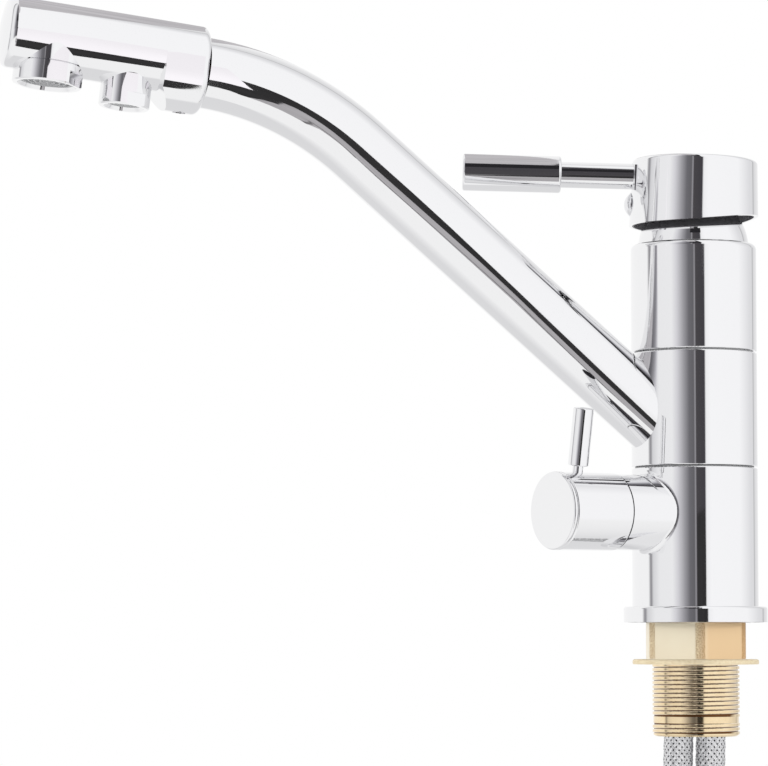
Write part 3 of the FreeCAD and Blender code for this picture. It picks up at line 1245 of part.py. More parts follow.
def make_valve():
    """Filtered-water valve: quarter-turn headwork in the branch, and its cylindrical handle."""
    bore = S.valve_bore_dia / 2
    disc = S.valve_disc_dia / 2
    floor = S.valve_bore_floor
    disc_low = floor + S.valve_seal_thick
    disc_top = disc_low + S.valve_disc_thick
    moving_top = disc_top + S.running_gap + S.valve_disc_thick
    flange_top = moving_top + S.running_gap + S.spindle_flange_thick
    spindle_hole = S.spindle_dia / 2 + S.running_gap
    port_offset = S.valve_disc_dia * 0.24
    port = S.valve_disc_dia * 0.3
    seal = turned_part("valve_seal", ring_corners(S.valve_disc_dia * 0.6, S.valve_disc_dia, floor, disc_low))
    keep(seal, "valve_seal", VALVE_PLACE)
    fixed = new_body("valve_fixed_disc_body")
    revolve(fixed, "valve_fixed_blank", ring_corners(ZERO, S.valve_disc_dia, disc_low, disc_top))
    pocket_circles(fixed, "valve_fixed_ports", "XY_Plane", disc_low,
                   ((ZERO, port_offset, port), (ZERO, -port_offset, port)), S.valve_disc_thick + 1.0, True)
    keep(fixed, "valve_fixed_disc", VALVE_PLACE)
    head = S.headwork_head_dia / 2
    headwork = turned_part("valve_headwork", (
        (disc + 0.1, floor),
        (bore - 0.01, floor),
        (bore - 0.01, S.valve_branch_reach - 1.0),
        (head, S.valve_branch_reach - 1.0),
        (head, S.valve_branch_reach + S.headwork_out),
        (spindle_hole, S.valve_branch_reach + S.headwork_out),
        (spindle_hole, flange_top + S.running_gap),
        (disc + 0.1, flange_top + S.running_gap)))
    keep(headwork, "valve_headwork", VALVE_PLACE)
    moving = new_body("valve_moving_disc_body")
    revolve(moving, "valve_moving_blank", ring_corners(
        ZERO, S.valve_disc_dia, disc_top + S.running_gap, moving_top))
    pocket_circles(moving, "valve_moving_ports", "XY_Plane", disc_top,
                   ((port_offset, ZERO, port), (-port_offset, ZERO, port)), S.valve_disc_thick + 1.0, True)
    keep(moving, "valve_moving_disc", HANDLE_PLACE)
    hub = S.knob_wall * 2 + S.spindle_dia / 2
    web_low = S.valve_branch_reach + S.headwork_out + 2.0
    web_high = S.knob_face_reach - S.knob_cap_rim - 1.0
    screw_seat = web_high - 4.0
    spindle = turned_part("valve_spindle", (
        (ZERO, moving_top),
        (S.spindle_flange_dia / 2, moving_top),
        (S.spindle_flange_dia / 2, flange_top),
        (S.spindle_dia / 2, flange_top),
        (S.spindle_dia / 2, screw_seat - 0.5),
        (ZERO, screw_seat - 0.5)))
    keep(spindle, "valve_spindle", HANDLE_PLACE)
    knob_radius = S.knob_dia / 2
    knob_low = S.valve_branch_reach + S.knob_gap
    rounding = S.knob_edge_round
    rim_low = S.knob_face_reach - S.knob_cap_rim
    knob = new_body("filter_knob_body")
    revolve(knob, "knob_turning", (
        (knob_radius - S.knob_wall, knob_low),
        (knob_radius - rounding, knob_low),
        (knob_radius, knob_low + rounding, rounding, 1),
        (knob_radius, rim_low - rounding),
        (knob_radius - rounding, rim_low, rounding, 1),
        (knob_radius - S.knob_wall, rim_low),
        (knob_radius - S.knob_wall, web_high),
        (S.head_screw_dia, web_high),
        (S.head_screw_dia, screw_seat),
        (S.head_screw_dia / 2, screw_seat),
        (S.head_screw_dia / 2, screw_seat - 0.5),
        (S.spindle_dia / 2, screw_seat - 0.5),
        (S.spindle_dia / 2, web_low),
        (hub, web_low),
        (hub, web_high - 3.5),
        (knob_radius - S.knob_wall, web_high - 3.5)))
    pocket_circles(knob, "stick_hole", "XZ_Plane", ZERO, ((ZERO, S.stick_reach, S.stick_neck_dia),),
                   S.knob_dia)
    keep(knob, "filter_knob", HANDLE_PLACE)
    cap = turned_part("knob_cap", (
        (ZERO, web_high + 0.3),
        (knob_radius - S.knob_wall - 0.02, web_high + 0.3),
        (knob_radius - S.knob_wall - 0.02, rim_low + 0.15),
        (knob_radius - rounding, rim_low + 0.15),
        (knob_radius, rim_low + 0.15 + rounding, rounding, 1),
        (knob_radius, S.knob_face_reach - rounding),
        (knob_radius - rounding, S.knob_face_reach, rounding, 1),
        (ZERO, S.knob_face_reach)))
    keep(cap, "knob_cap", HANDLE_PLACE)
    stick_place = HANDLE_PLACE.multiply(along(Vector(0, 1, 0), Vector(0, 0, S.stick_reach.number)))
    stick_round = S.edge_round
    stick = turned_part("knob_stick", (
        (ZERO, knob_radius - S.knob_wall),
        (S.stick_neck_dia / 2 - 0.01, knob_radius - S.knob_wall),
        (S.stick_neck_dia / 2 - 0.01, S.stick_start),
        (S.stick_dia / 2 - stick_round, S.stick_start),
        (S.stick_dia / 2, S.stick_start + stick_round, stick_round, 1),
        (S.stick_dia / 2, S.stick_end - stick_round),
        (S.stick_dia / 2 - stick_round, S.stick_end, stick_round, 1),
        (ZERO, S.stick_end)))
    keep(stick, "knob_stick", stick_place)
    screw = new_body("knob_screw_body")
    revolve(screw, "knob_screw_turning", (
        (ZERO, screw_seat - 0.48),
        (S.head_screw_dia / 2 - 0.1, screw_seat - 0.48),
        (S.head_screw_dia / 2 - 0.1, screw_seat),
        (S.head_screw_dia - 0.5, screw_seat),
        (S.head_screw_dia - 0.5, web_high - 0.5),
        (ZERO, web_high - 0.5)))
    hexagon(screw, "knob_screw_key", ZERO + 3.0, web_high - 0.5, ZERO + 2.0)
    keep(screw, "knob_screw", HANDLE_PLACE)


def make_shank():
    """Threaded shank, lock nut and clamp washer below the flange."""
    shank_bore = S.shank_bore / 2
    outer = S.shank_dia / 2
    chamfer = S.edge_round * 2
    shank = turned_part("shank", (
        (shank_bore, -S.shank_bottom),
        (outer - chamfer, -S.shank_bottom),
        (outer, -S.shank_bottom + chamfer),
        (outer, -S.shank_groove_low),
        (outer - S.shank_groove_depth, -S.shank_groove_low),
        (outer - S.shank_groove_depth, -S.shank_groove_high),
        (outer, -S.shank_groove_high),
        (outer, S.shank_top),
        (shank_bore, S.shank_top)))
    keep(shank, "shank")
    low = -S.lock_nut_height
    nut = hex_nut("lock_nut", S.nut_across_flats, S.shank_dia, low, ZERO - SLIP_FIT, S.nut_chamfer,
                  LOCK_NUT_TURN)
    keep(nut, "lock_nut")
    washer = turned_part("clamp_washer", ring_corners(S.shank_dia, S.washer_dia, low - S.washer_thick, low))
    keep(washer, "clamp_washer")


def tail_points(angle, side):
    """The route of one braided tail."""
    start = on_circle(S.inlet_circle_radius.number, angle)
    out = on_circle(1.0, SPREAD_ANGLE)
    return [start.add(Vector(out).multiply(spread * side)).add(Vector(0, 0, height))
            for spread, height in TAIL_ROUTE]


def tail_path(points, name):
    """Straight runs joined by arcs as large as the runs allow, with their radii printed."""
    edges = []
    radii = []
    here = points[0]
    for before, corner, after in zip(points, points[1:], points[2:]):
        inward = corner.sub(before)
        outward = after.sub(corner)
        half_turn = inward.getAngle(outward) / 2
        reach = 0.45 * min(inward.Length, outward.Length)
        radii.append(reach / math.tan(half_turn))
        inward.normalize()
        outward.normalize()
        first = corner.sub(Vector(inward).multiply(reach))
        last = corner.add(Vector(outward).multiply(reach))
        bulge = radii[-1] * (1 / math.cos(half_turn) - 1)
        toward = outward.sub(inward).normalize()
        edges.append(Part.LineSegment(here, first).toShape())
        edges.append(Part.Arc(first, corner.add(toward.multiply(bulge)), last).toShape())
        here = last
    edges.append(Part.LineSegment(here, points[-1]).toShape())
    print(name, "radii mm", [round(radius) for radius in radii])
    return Part.Wire(edges)


def make_tails():
    """Two braided tails with their stems, crimped ferrules, end fittings and swivel nuts."""
    ferrule = S.ferrule_dia / 2
    stems = []
    ferrules = []
    end_ferrules = []
    end_stems = []
    end_seals = []
    collar_low = S.shank_top - S.stem_collar_height
    ferrule_low = collar_low - S.ferrule_length
    for name, angle, side in (("hot", HOT_ANGLE, -1.0), ("cold", COLD_ANGLE, 1.0)):
        base = on_circle(S.inlet_circle_radius.number, angle)
        upright = Placement(base, Rotation())
        stem = turned_part(name + "_stem", (
            (S.stem_bore / 2, collar_low),
            (S.inlet_dia / 2 + S.stem_shoulder, collar_low),
            (S.inlet_dia / 2 + S.stem_shoulder, S.shank_top),
            (S.inlet_dia / 2, S.shank_top),
            (S.inlet_dia / 2, S.shank_top + S.inlet_depth),
            (S.stem_bore / 2, S.shank_top + S.inlet_depth)))
        stem.Placement = upright
        stems.append(stem)
        upper = turned_part(name + "_ferrule", ferrule_outline(ZERO, ferrule, ferrule_low, collar_low))
        upper.Placement = upright
        ferrules.append(upper)
        points = tail_points(angle, side)
        path = tail_path(points, name + "_tail")
        start_cut = Part.Circle(points[0], points[1].sub(points[0]), S.tail_dia.number / 2).toShape()
        tube = path.makePipeShell([Part.Wire([start_cut])], True, False)
        section = math.pi * (S.tail_dia.number / 2) ** 2
        print(name, "tail length mm %.1f, volume over section times length %.4f"
              % (path.Length, tube.Volume / (section * path.Length)))
        tail = doc.addObject("Part::Feature", name + "_tail_tube")
        tail.Shape = tube
        keep(tail, name + "_tail")
        end = points[-1]
        down = points[-1].sub(points[-2]).normalize()
        end_place = along(down, end)
        lower = turned_part(name + "_end_ferrule", ferrule_outline(ZERO, ferrule, ZERO, S.ferrule_length))
        lower.Placement = end_place
        end_ferrules.append(lower)
        nut_low = S.ferrule_length + S.end_nut_gap
        nut_high = nut_low + S.end_nut_height
        collar = nut_low + S.end_nut_web
        flare = S.end_flare_dia / 2
        end_stem = turned_part(name + "_end_stem", (
            (S.stem_bore / 2, S.ferrule_length), (S.end_stem_dia / 2, S.ferrule_length),
            (S.end_stem_dia / 2, collar), (flare, collar), (flare, collar + S.end_flare_height),
            (S.stem_bore / 2, collar + S.end_flare_height)))
        end_stem.Placement = end_place
        end_stems.append(end_stem)
        seal_low = collar + S.end_flare_height
        seal_high = seal_low + S.end_seal_thick
        seal = turned_part(name + "_seal_disc", ring_corners(
            S.stem_bore, S.end_flare_dia - S.clear_gap, seal_low, seal_high))
        seal.Placement = end_place
        end_seals.append(seal)
        nut_bore = S.end_stem_dia + S.running_gap * 2
        blank = hex_nut(name + "_tail_nut", S.end_nut_flats, nut_bore, nut_low, nut_high, S.nut_chamfer)
        relief_low = collar - S.running_gap
        pocket_circles(blank, name + "_nut_relief", "XY_Plane", relief_low,
                       ((ZERO, ZERO, S.end_nut_relief_dia),), seal_high + S.clear_gap - relief_low, True)
        pocket_circles(blank, name + "_nut_thread", "XY_Plane", seal_low,
                       ((ZERO, ZERO, S.end_nut_thread_dia),), nut_high, True)
        keep(blank, name + "_tail_nut", end_place)
    keep(gathered("tail_stems", stems), "tail_stems")
    keep(gathered("tail_ferrules", ferrules), "tail_ferrules")
    keep(gathered("end_ferrules", end_ferrules), "end_ferrules")
    keep(gathered("end_stems", end_stems), "end_stems")
    keep(gathered("end_seals", end_seals), "end_seals")


def ferrule_outline(inner, outer, low, high):
    """A crimped sleeve: two swaged bands between plain rims."""
    band = (high - low) / 5
    waist = outer - 0.35
    return (
        (inner, low), (outer, low), (outer, low + band), (waist, low + band), (waist, low + band * 2),
        (outer, low + band * 2), (outer, low + band * 3), (waist, low + band * 3), (waist, low + band * 4),
        (outer, low + band * 4), (outer, high), (inner, high))


def write_parts():
    """Checks every object and every sub-part's shape, then writes the STEP files."""
    doc.recompute()
    for item in doc.Objects:
        faults = [word for word in ("Invalid", "Error") if word in item.State]
        if faults:
            raise RuntimeError("%s is %s" % (item.Label, ", ".join(faults)))
    labels = [piece.Label for piece in PARTS]
    if len(set(labels)) != len(labels):
        raise RuntimeError("two sub-parts share a label")
    for piece in PARTS:
        if piece.Shape.isNull() or not piece.Shape.isValid() or not piece.Shape.Solids:
            raise RuntimeError(piece.Label + " has no valid solid")
    os.makedirs("parts", exist_ok=True)
    for piece in PARTS:
        piece.Shape.exportStep("parts/%s.step" % piece.Label)
    print(len(PARTS), "sub-parts written")


make_base_ring()
make_lower_body()
make_swivel()
make_cartridge_housing()
make_dome()
make_cartridge()
make_stem()
make_lever()
make_spout_ring()
make_spout_tube()
make_spigot()
make_spout_head()
make_outlet("main_aerator", S.main_reach, S.main_dia, S.main_mouth_dia, S.main_seat_drop, S.main_drop,
            S.main_flats, S.main_flat_turn)
make_outlet("filter_aerator", S.filter_reach, S.filter_dia, S.filter_mouth_dia, S.filter_seat_drop,
            S.filter_drop, S.filter_flats, S.filter_flat_turn)
make_valve()
make_shank()
make_tails()
write_parts()
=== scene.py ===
"""Looks of a single-lever mixer tap: brass, braided hoses, outlet inserts, plating and studio."""

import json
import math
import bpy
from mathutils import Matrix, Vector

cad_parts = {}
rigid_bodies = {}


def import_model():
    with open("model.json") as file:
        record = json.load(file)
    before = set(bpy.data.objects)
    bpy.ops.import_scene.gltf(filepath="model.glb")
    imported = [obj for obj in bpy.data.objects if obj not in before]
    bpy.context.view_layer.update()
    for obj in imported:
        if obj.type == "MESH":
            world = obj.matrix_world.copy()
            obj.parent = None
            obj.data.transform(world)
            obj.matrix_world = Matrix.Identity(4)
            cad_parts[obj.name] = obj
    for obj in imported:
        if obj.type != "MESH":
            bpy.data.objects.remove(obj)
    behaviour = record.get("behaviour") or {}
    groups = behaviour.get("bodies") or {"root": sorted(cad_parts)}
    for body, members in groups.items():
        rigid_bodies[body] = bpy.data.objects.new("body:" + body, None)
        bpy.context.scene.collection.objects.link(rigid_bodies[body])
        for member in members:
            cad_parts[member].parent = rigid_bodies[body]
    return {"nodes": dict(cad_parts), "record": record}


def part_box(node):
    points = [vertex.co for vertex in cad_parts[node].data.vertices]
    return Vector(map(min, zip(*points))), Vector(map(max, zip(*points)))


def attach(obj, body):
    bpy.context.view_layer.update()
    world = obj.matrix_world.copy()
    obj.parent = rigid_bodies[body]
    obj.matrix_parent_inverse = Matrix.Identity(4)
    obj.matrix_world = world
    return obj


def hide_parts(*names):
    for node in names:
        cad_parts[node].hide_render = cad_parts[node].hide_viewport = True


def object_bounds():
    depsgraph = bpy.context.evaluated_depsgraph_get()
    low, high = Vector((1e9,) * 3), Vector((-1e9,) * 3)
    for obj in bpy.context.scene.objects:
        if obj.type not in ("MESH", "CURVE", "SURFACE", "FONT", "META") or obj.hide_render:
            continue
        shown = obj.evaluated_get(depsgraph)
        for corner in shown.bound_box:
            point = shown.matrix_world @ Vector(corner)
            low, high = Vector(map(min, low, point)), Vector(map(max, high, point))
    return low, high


bl_info = {
    "name": "Mixer Tap Finisher",
    "version": (1, 0, 0),
    "blender": (4, 5, 0),
    "location": "3D View > Sidebar > Mixer Tap",
    "description": "Models the tap's threaded, braided and ribbed pieces and gives every part its finish",
    "category": "Add Mesh",
}

import bpy
from bpy.props import FloatProperty, FloatVectorProperty, IntProperty, PointerProperty
from mathutils import Color, Matrix, Vector

for leftover in list(bpy.data.objects):
    bpy.data.objects.remove(leftover)
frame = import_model()
NODES = frame["nodes"]
CAD_BOX = [list(corner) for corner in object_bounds()]

MM = 0.001
UP = Vector((0.0, 0.0, 1.0))

# Where the camera stands and what its lens is, from the photograph's perspective: metres, degrees
# and, for the lens and its sensor, millimetres.
CAMERA_PLACE = Vector((1.1407, -0.8674, -0.0066))
CAMERA_AZIMUTH = 57.7
CAMERA_RISE = 4.079
CAMERA_LENS = 168.24
CAMERA_SENSOR = 36.0

# One soft lamp in front of the tap, and a floor just under the hoses' ends: metres and watts.
LAMP_PLACE = Vector((1.0, -1.6, 1.6))
LAMP_AIM = Vector((0.0, 0.0, 0.05))
LAMP_WIDTH = 1.2
LAMP_POWER = 6.0
FLOOR_RADIUS = 1.6
FLOOR_DROP = 0.006

# The braided hoses: where the hot and cold stems hang, which way each hose leans, how far it is tucked
# to the right below the shank, and the route in millimetres as (lean, height), as in the part's source.
STEM_CIRCLE = 7.75
HOSES = (("hot", 270.0, -1.0, -1.0), ("cold", 30.0, 1.0, -2.4))
LEAN_AZIMUTH = 57.7
HOSE_ROUTE = ((0.0, -12.0), (0.0, -57.0), (1.6, -104.0), (5.2, -157.0), (8.2, -212.0), (9.4, -264.0),
              (8.6, -309.0))
TUCKED_POINTS = (1, 2)

# The braid: how far the liner and the bands' middle lie inside the hose's surface, how far a band rises
# where it passes over another, and half its thickness, millimetres. The section is in half widths and
# half thicknesses, rounded outside and flat inside.
LINER_INSET = 0.85
BAND_INSET = 0.2
BAND_LIFT = 0.13
BAND_HALF_THICK = 0.11
BAND_SECTION = ((-1.0, 0.5), (0.0, 1.0), (1.0, 0.5), (0.8, -1.0), (-0.8, -1.0))

# The hoses' nuts in millimetres: height, how far below the route's end they begin, the bores' radii
# over the stem and over its flange and where the flange's seat lies, and the thread's radius, where it
# begins and the radius of its mouth.
HOSE_NUT_HEIGHT = 14.0
HOSE_NUT_DROP = 19.0
STEM_BORE = 5.56
FLANGE_BORE = 8.0
FLANGE_SEAT = 2.95
NUT_THREAD = 7.5
NUT_THREAD_START = 7.6
NUT_MOUTH = 7.9

# The shank in millimetres: how far the plain groove's two ends lie above the shank's end, how far its
# surface lies inside the thread's crest, and how far the thread's ridge is sunk into the core. Then the
# ridge's steps in a turn, and how many of them its ends take to taper.
GROOVE_RISE = (5.9, 7.1)
GROOVE_DEPTH = 0.35
RIDGE_SINK = 0.15
RIDGE_STEPS = 96
TAPER_STEPS = 14

# Dark oil and painted shade in the thread's grooves: the depths below the crest at which they begin
# and cover all, and the heights above the shank's end at which they begin and cover all, millimetres.
OIL_AND_SHADE_DEPTH = (0.42, 0.62)
OIL_AND_SHADE_RISE = (0.8, 1.2)

# The lock nut: how far it is turned about the shank and towards which side its flats turn browner with
# painted shade, in degrees, and its chamfer and the width of its turned corners' rough band, in
# millimetres.
LOCK_NUT_TURN = 27.8
PAINTED_SHADE_SIDE = 57.7
NUT_CHAMFER = 0.5
ROUGH_BAND = (0.28, 0.1)

# The lever's cap is darkened with painted shade inside this radius and below this height, millimetres.
CAP_INSIDE_RADIUS = 24.35
CAP_INSIDE_TOP = 174.0

# The outlets: which way they point, and each insert's node, the middle of its collar's mouth, its
# radius, its depth and its rings' radii, millimetres. Then where its face lies (the mouth is at 0 and
# up the bore is minus), how deep its relief and how wide its rim is, and its ribs.
OUTLET_AXIS = Vector((-0.0293, -0.10935, -0.99357))
OUTLETS = (
    ("main_aerator_insert", Vector((-68.209, -254.561, 202.719)), 11.55, 5.3, (9.4, 7.2, 5.0, 2.8)),
    ("filter_aerator_insert", Vector((-60.449, -225.598, 195.579)), 8.05, 9.9, (6.2, 4.2, 2.2)),
)
INSERT_FACE = -1.45
INSERT_RELIEF = 0.7
INSERT_RIM = 1.4
RIB_COUNT = 8
RIB_WIDTH = 0.5
RIB_START = 0.7

# Cards on one upright plane beside the camera, as outlines of (y, z) in millimetres: the black one draws
# the dark stripe along the spout, the grey one lies beyond its lower edge, and the hem is its far edge.
BLACK_CARD = ((-460, 70), (-245, 70), (-225, 46), (-228, -46), (-242, -110), (-250, -214), (-250, -650),
              (-300, -720), (-350, -880), (-385, -880), (-400, -560), (-412, -450), (-398, -384),
              (-378, -303), (-359, -225), (-363, -180), (-395, -179), (-442, -195), (-518, -218),
              (-560, -235), (-560, -170), (-460, -60))
GREY_CARD = ((-385, -880), (-660, -880), (-620, -690), (-590, -575), (-653, -555), (-687, -548),
             (-760, -600), (-760, -235), (-560, -235), (-518, -218), (-442, -195), (-395, -179),
             (-363, -180), (-359, -225), (-378, -303), (-398, -384), (-412, -450), (-400, -560))
HEM_CARD = ((-660, -880), (-620, -760), (-592, -650), (-560, -560), (-515, -470), (-600, -485),
            (-640, -505), (-740, -560), (-740, -530), (-640, -475), (-600, -458), (-490, -430),
            (-540, -550), (-572, -650), (-598, -760), (-635, -880))

# A white card close beside the spout's head: it hides the black card's upper part from the head alone,
# so the head's dark stripe lies low.
HEAD_CARD = ((-300, 172), (-192, 172), (-192, 226), (-300, 226))

# Each card's name, its plane's x, its outline and how bright it is. The cloth has a trace of purple.
CARDS = (
    ("black_card", 700.0, BLACK_CARD, 0.036),
    ("grey_card", 700.0, GREY_CARD, 0.44),
    ("hem_card", 698.0, HEM_CARD, 0.15),
    ("head_card", 20.0, HEAD_CARD, 1.0),
)
CLOTH_TINT = (1.0, 0.97, 1.0, 1.0)

# A card over the lever, as (towards the camera, to the right), and how high it hangs, millimetres.
LEVER_CARD = ((632.0, -200.0), (632.0, 10.0), (-2650.0, -20.0), (-2650.0, -330.0))
LEVER_CARD_HEIGHT = 1000.0
LEVER_CARD_BRIGHTNESS = 0.56

# Light panels round the tap, as plating shows them: where each begins in degrees from the camera's
# side, + to the right, and its grey there. It fades to the next one's beginning.
STUDIO_RING = (
    (-180.0, "#F0F0F1"), (-99.0, "#F0F0F1"),                     # wall behind the tap
    (-94.5, "#949397"), (-91.0, "#949397"),                      # post at its left end
    (-88.0, "#CFCFD2"), (-72.0, "#E7E7E9"), (-46.0, "#E8E8EA"),  # left wall and lamp
    (-36.0, "#D0CFD4"), (-24.0, "#9C9BA0"), (-14.0, "#6A696E"),  # darker gap in front
    (-5.5, "#616064"), (-4.0, "#8D8B90"), (-2.8, "#8D8B90"),     # narrow grey strip
    (-1.5, "#474548"), (14.6, "#403E43"),                        # black cloth
    (15.8, "#ECECEE"), (25.0, "#F4F4F6"), (86.0, "#F3F3F5"),     # right lamp
    (118.0, "#DBDBDE"), (130.0, "#D8D8DA"),                      # right wall
    (133.0, "#A9A9AC"), (137.0, "#D6D6D8"),                      # thin post
    (180.0, "#F0F0F1"))                                          # wall behind the tap again

# Above the heights LEAN_FROM to LEAN_TO the ring is shifted by LEAN degrees. Below the ring lies a white
# table, grey behind the tap, and a dark flag hangs over the camera. All in degrees.
LEAN_FROM, LEAN_TO, LEAN = 6.4, 6.9, 4.6
TABLE_FROM, TABLE_TO = -24.0, -17.0
BEHIND_FROM, BEHIND_TO = 70.0, 125.0
FLAG_SIDE = 12.0
FLAG_FROM, FLAG_TO = 28.0, 49.0

# What matt surfaces are lit by, and what the camera sees round the tap.
MATT_LIGHT = (0.9, 0.9, 0.9, 1.0)
BACKDROP = (1.0, 1.0, 1.0, 1.0)


def colour(hex_value):
    """An sRGB hex value as a linear colour with full alpha."""
    channels = [int(hex_value[start:start + 2], 16) / 255 for start in (1, 3, 5)]
    return [value / 12.92 if value <= 0.04045 else ((value + 0.055) / 1.055) ** 2.4
            for value in channels] + [1.0]


def length_property(name, description, millimetres):
    """A size that Blender shows in the scene's own unit of length."""
    return FloatProperty(name=name, description=description, default=millimetres * MM, min=0.0,
                         unit="LENGTH", precision=5)


def colour_property(name, description, hex_value):
    """A colour that Blender shows with its colour picker."""
    return FloatVectorProperty(name=name, description=description, default=colour(hex_value)[:3],
                               min=0.0, max=1.0, size=3, subtype="COLOR")


class TapSizes(bpy.types.PropertyGroup):
    """Sizes of the pieces that are modelled here."""

    thread_pitch: length_property("Shank thread pitch", "From one thread to the next", 1.71)
    thread_depth: length_property("Shank thread depth", "From the thread's crest to its root", 0.72)
    shank_dia: length_property("Shank diameter", "Over the crests of the thread", 34.5)
    shank_bore: length_property("Shank bore", "Inner diameter of the shank", 28.6)
    nut_flats: length_property("Lock nut flats", "Across the flats of the lock nut", 38.0)
    nut_turned: length_property("Lock nut corners", "Diameter that its corners are turned to", 42.2)
    washer_dia: length_property("Washer diameter", "Outer diameter of the clamp washer", 50.0)
    hose_dia: length_property("Hose diameter", "Over the braid", 11.8)
    braid_pitch: length_property("Braid pitch", "Length of hose in one turn of a band", 40.8)
    braid_band_width: length_property("Band width", "Width of one flat band of wires", 1.08)
    end_nut_flats: length_property("Hose nut flats", "Across the flats of the hoses' nuts", 19.0)
    braid_bands: IntProperty(name="Braid bands", description="Bands that wind each way", default=16,
                             min=2)


class TapColours(bpy.types.PropertyGroup):
    """Colours of the finishes."""

    chrome: colour_property("Chrome plate", "Polished chrome", "#F0F0F1")
    brass: colour_property("Brass", "Freshly machined brass", "#F4DDAF")
    thread: colour_property("Thread", "Burnished brass of the shank's thread", "#F6E2BC")
    flats: colour_property("Nut flats", "Drawn brass of the lock nut", "#FFF5DA")
    sheet: colour_property("Washer", "Stamped brass sheet", "#FFF0CE")
    steel: colour_property("Stainless steel", "Bright stainless wire and screws", "#E2E2E3")
    wire: colour_property("Braid wire", "Drawn stainless wire of the hoses", "#F6F6F7")
    rubber: colour_property("Nitrile rubber", "Seals and hose liner", "#1B1B1C")
    acetal: colour_property("Acetal", "Moulded cartridge and outlet inserts", "#B9BABC")
    ceramic: colour_property("Alumina", "Lapped ceramic discs", "#ECE8DE")
    button: colour_property("Index button", "Glossy plug below the lever", "#E9E9EB")
    floor: colour_property("Floor", "Plain pale floor", "#F2F2F1")


def in_mm(length):
    """A length in metres as millimetres, free of the rounding that a property gives it."""
    return round(length / MM, 4)


def fill_sockets(made, sockets):
    """Sets a node's sockets, or links other nodes to them. A node stands for its first output."""
    for key, value in sockets.items():
        if isinstance(value, bpy.types.Node):
            value = value.outputs[0]
        if isinstance(value, bpy.types.NodeSocket):
            made.id_data.links.new(value, made.inputs[key])
        else:
            made.inputs[key].default_value = (*value, 1.0) if isinstance(value, Color) else value


def add_node(tree, kind, sockets=None, **settings):
    """Adds a shader node, sets its properties and fills its sockets."""
    made = tree.nodes.new("ShaderNode" + kind)
    for name, value in settings.items():
        setattr(made, name, value)
    fill_sockets(made, sockets or {})
    return made


def new_material(name, base, metallic, roughness):
    """A material with only its shader and output, and the position on the piece in metres."""
    material = bpy.data.materials.new(name)
    material.use_nodes = True
    tree = material.node_tree
    tree.nodes.clear()
    shader = add_node(tree, "BsdfPrincipled", {"Base Color": base, "Metallic": metallic,
                                               "Roughness": roughness})
    add_node(tree, "OutputMaterial", {"Surface": shader})
    return material, tree, shader, add_node(tree, "TexCoord").outputs["Object"]


# A noise stays mostly within these two values, so a Map Range takes them as its ends.
NOISE_SPAN = {"From Min": 0.3, "From Max": 0.7}


def per(size):
    """The scale of a pattern whose grains or patches are about this many millimetres wide."""
    return 1.0 / (size * MM)


def vary(tree, shader, place, size, detail, tones=None, rough=None, relief=None):
    """Lets a noise vary a finish in patches this many millimetres wide.

    Tones are two colours and the second one's greatest share, rough is the least and the greatest
    roughness, and relief is a bump's strength and its height in millimetres.
    """
    noise = add_node(tree, "TexNoise", {"Vector": place, "Scale": per(size), "Detail": detail})
    if tones:
        share = add_node(tree, "MapRange", {**NOISE_SPAN, "Value": noise, "To Max": tones[2]})
        mixed = add_node(tree, "MixRGB", {"Fac": share, "Color1": tones[0], "Color2": colour(tones[1])})
        fill_sockets(shader, {"Base Color": mixed})
    if rough:
        haze = add_node(tree, "MapRange", {**NOISE_SPAN, "Value": noise, "To Min": rough[0],
                                           "To Max": rough[1]})
        fill_sockets(shader, {"Roughness": haze})
    if relief:
        marks = add_node(tree, "Bump", {"Height": noise, "Strength": relief[0],
                                        "Distance": relief[1] * MM})
        fill_sockets(shader, {"Normal": marks})


def from_axis(tree, place):
    """How far a spot of the piece lies from the Z axis."""
    level = add_node(tree, "VectorMath", {0: place, 1: (1.0, 1.0, 0.0)}, operation="MULTIPLY")
    return add_node(tree, "VectorMath", {0: level}, operation="LENGTH").outputs["Value"]


def plated_mirror(name, tones):
    """Bright chrome whose buffing leaves a very slight haze in patches, and a trace of orange peel."""
    material, tree, shader, place = new_material(name, tones.chrome, 1.0, 0.03)
    haze = add_node(tree, "TexNoise", {"Vector": place, "Scale": per(14.3), "Detail": 4.0})
    fine = add_node(tree, "TexNoise", {"Vector": place, "Scale": per(0.385), "Detail": 2.0})
    polish = add_node(tree, "MapRange", {**NOISE_SPAN, "Value": haze, "To Min": 0.022, "To Max": 0.05})
    peel = add_node(tree, "Bump", {"Height": fine, "Strength": 0.02, "Distance": 0.02 * MM})
    fill_sockets(shader, {"Roughness": polish, "Normal": peel})
    return material, tree, shader, place, polish


def polished_chrome(tones):
    """Electroplated chrome on polished brass: a clean mirror."""
    return plated_mirror("polished_chrome", tones)[0]


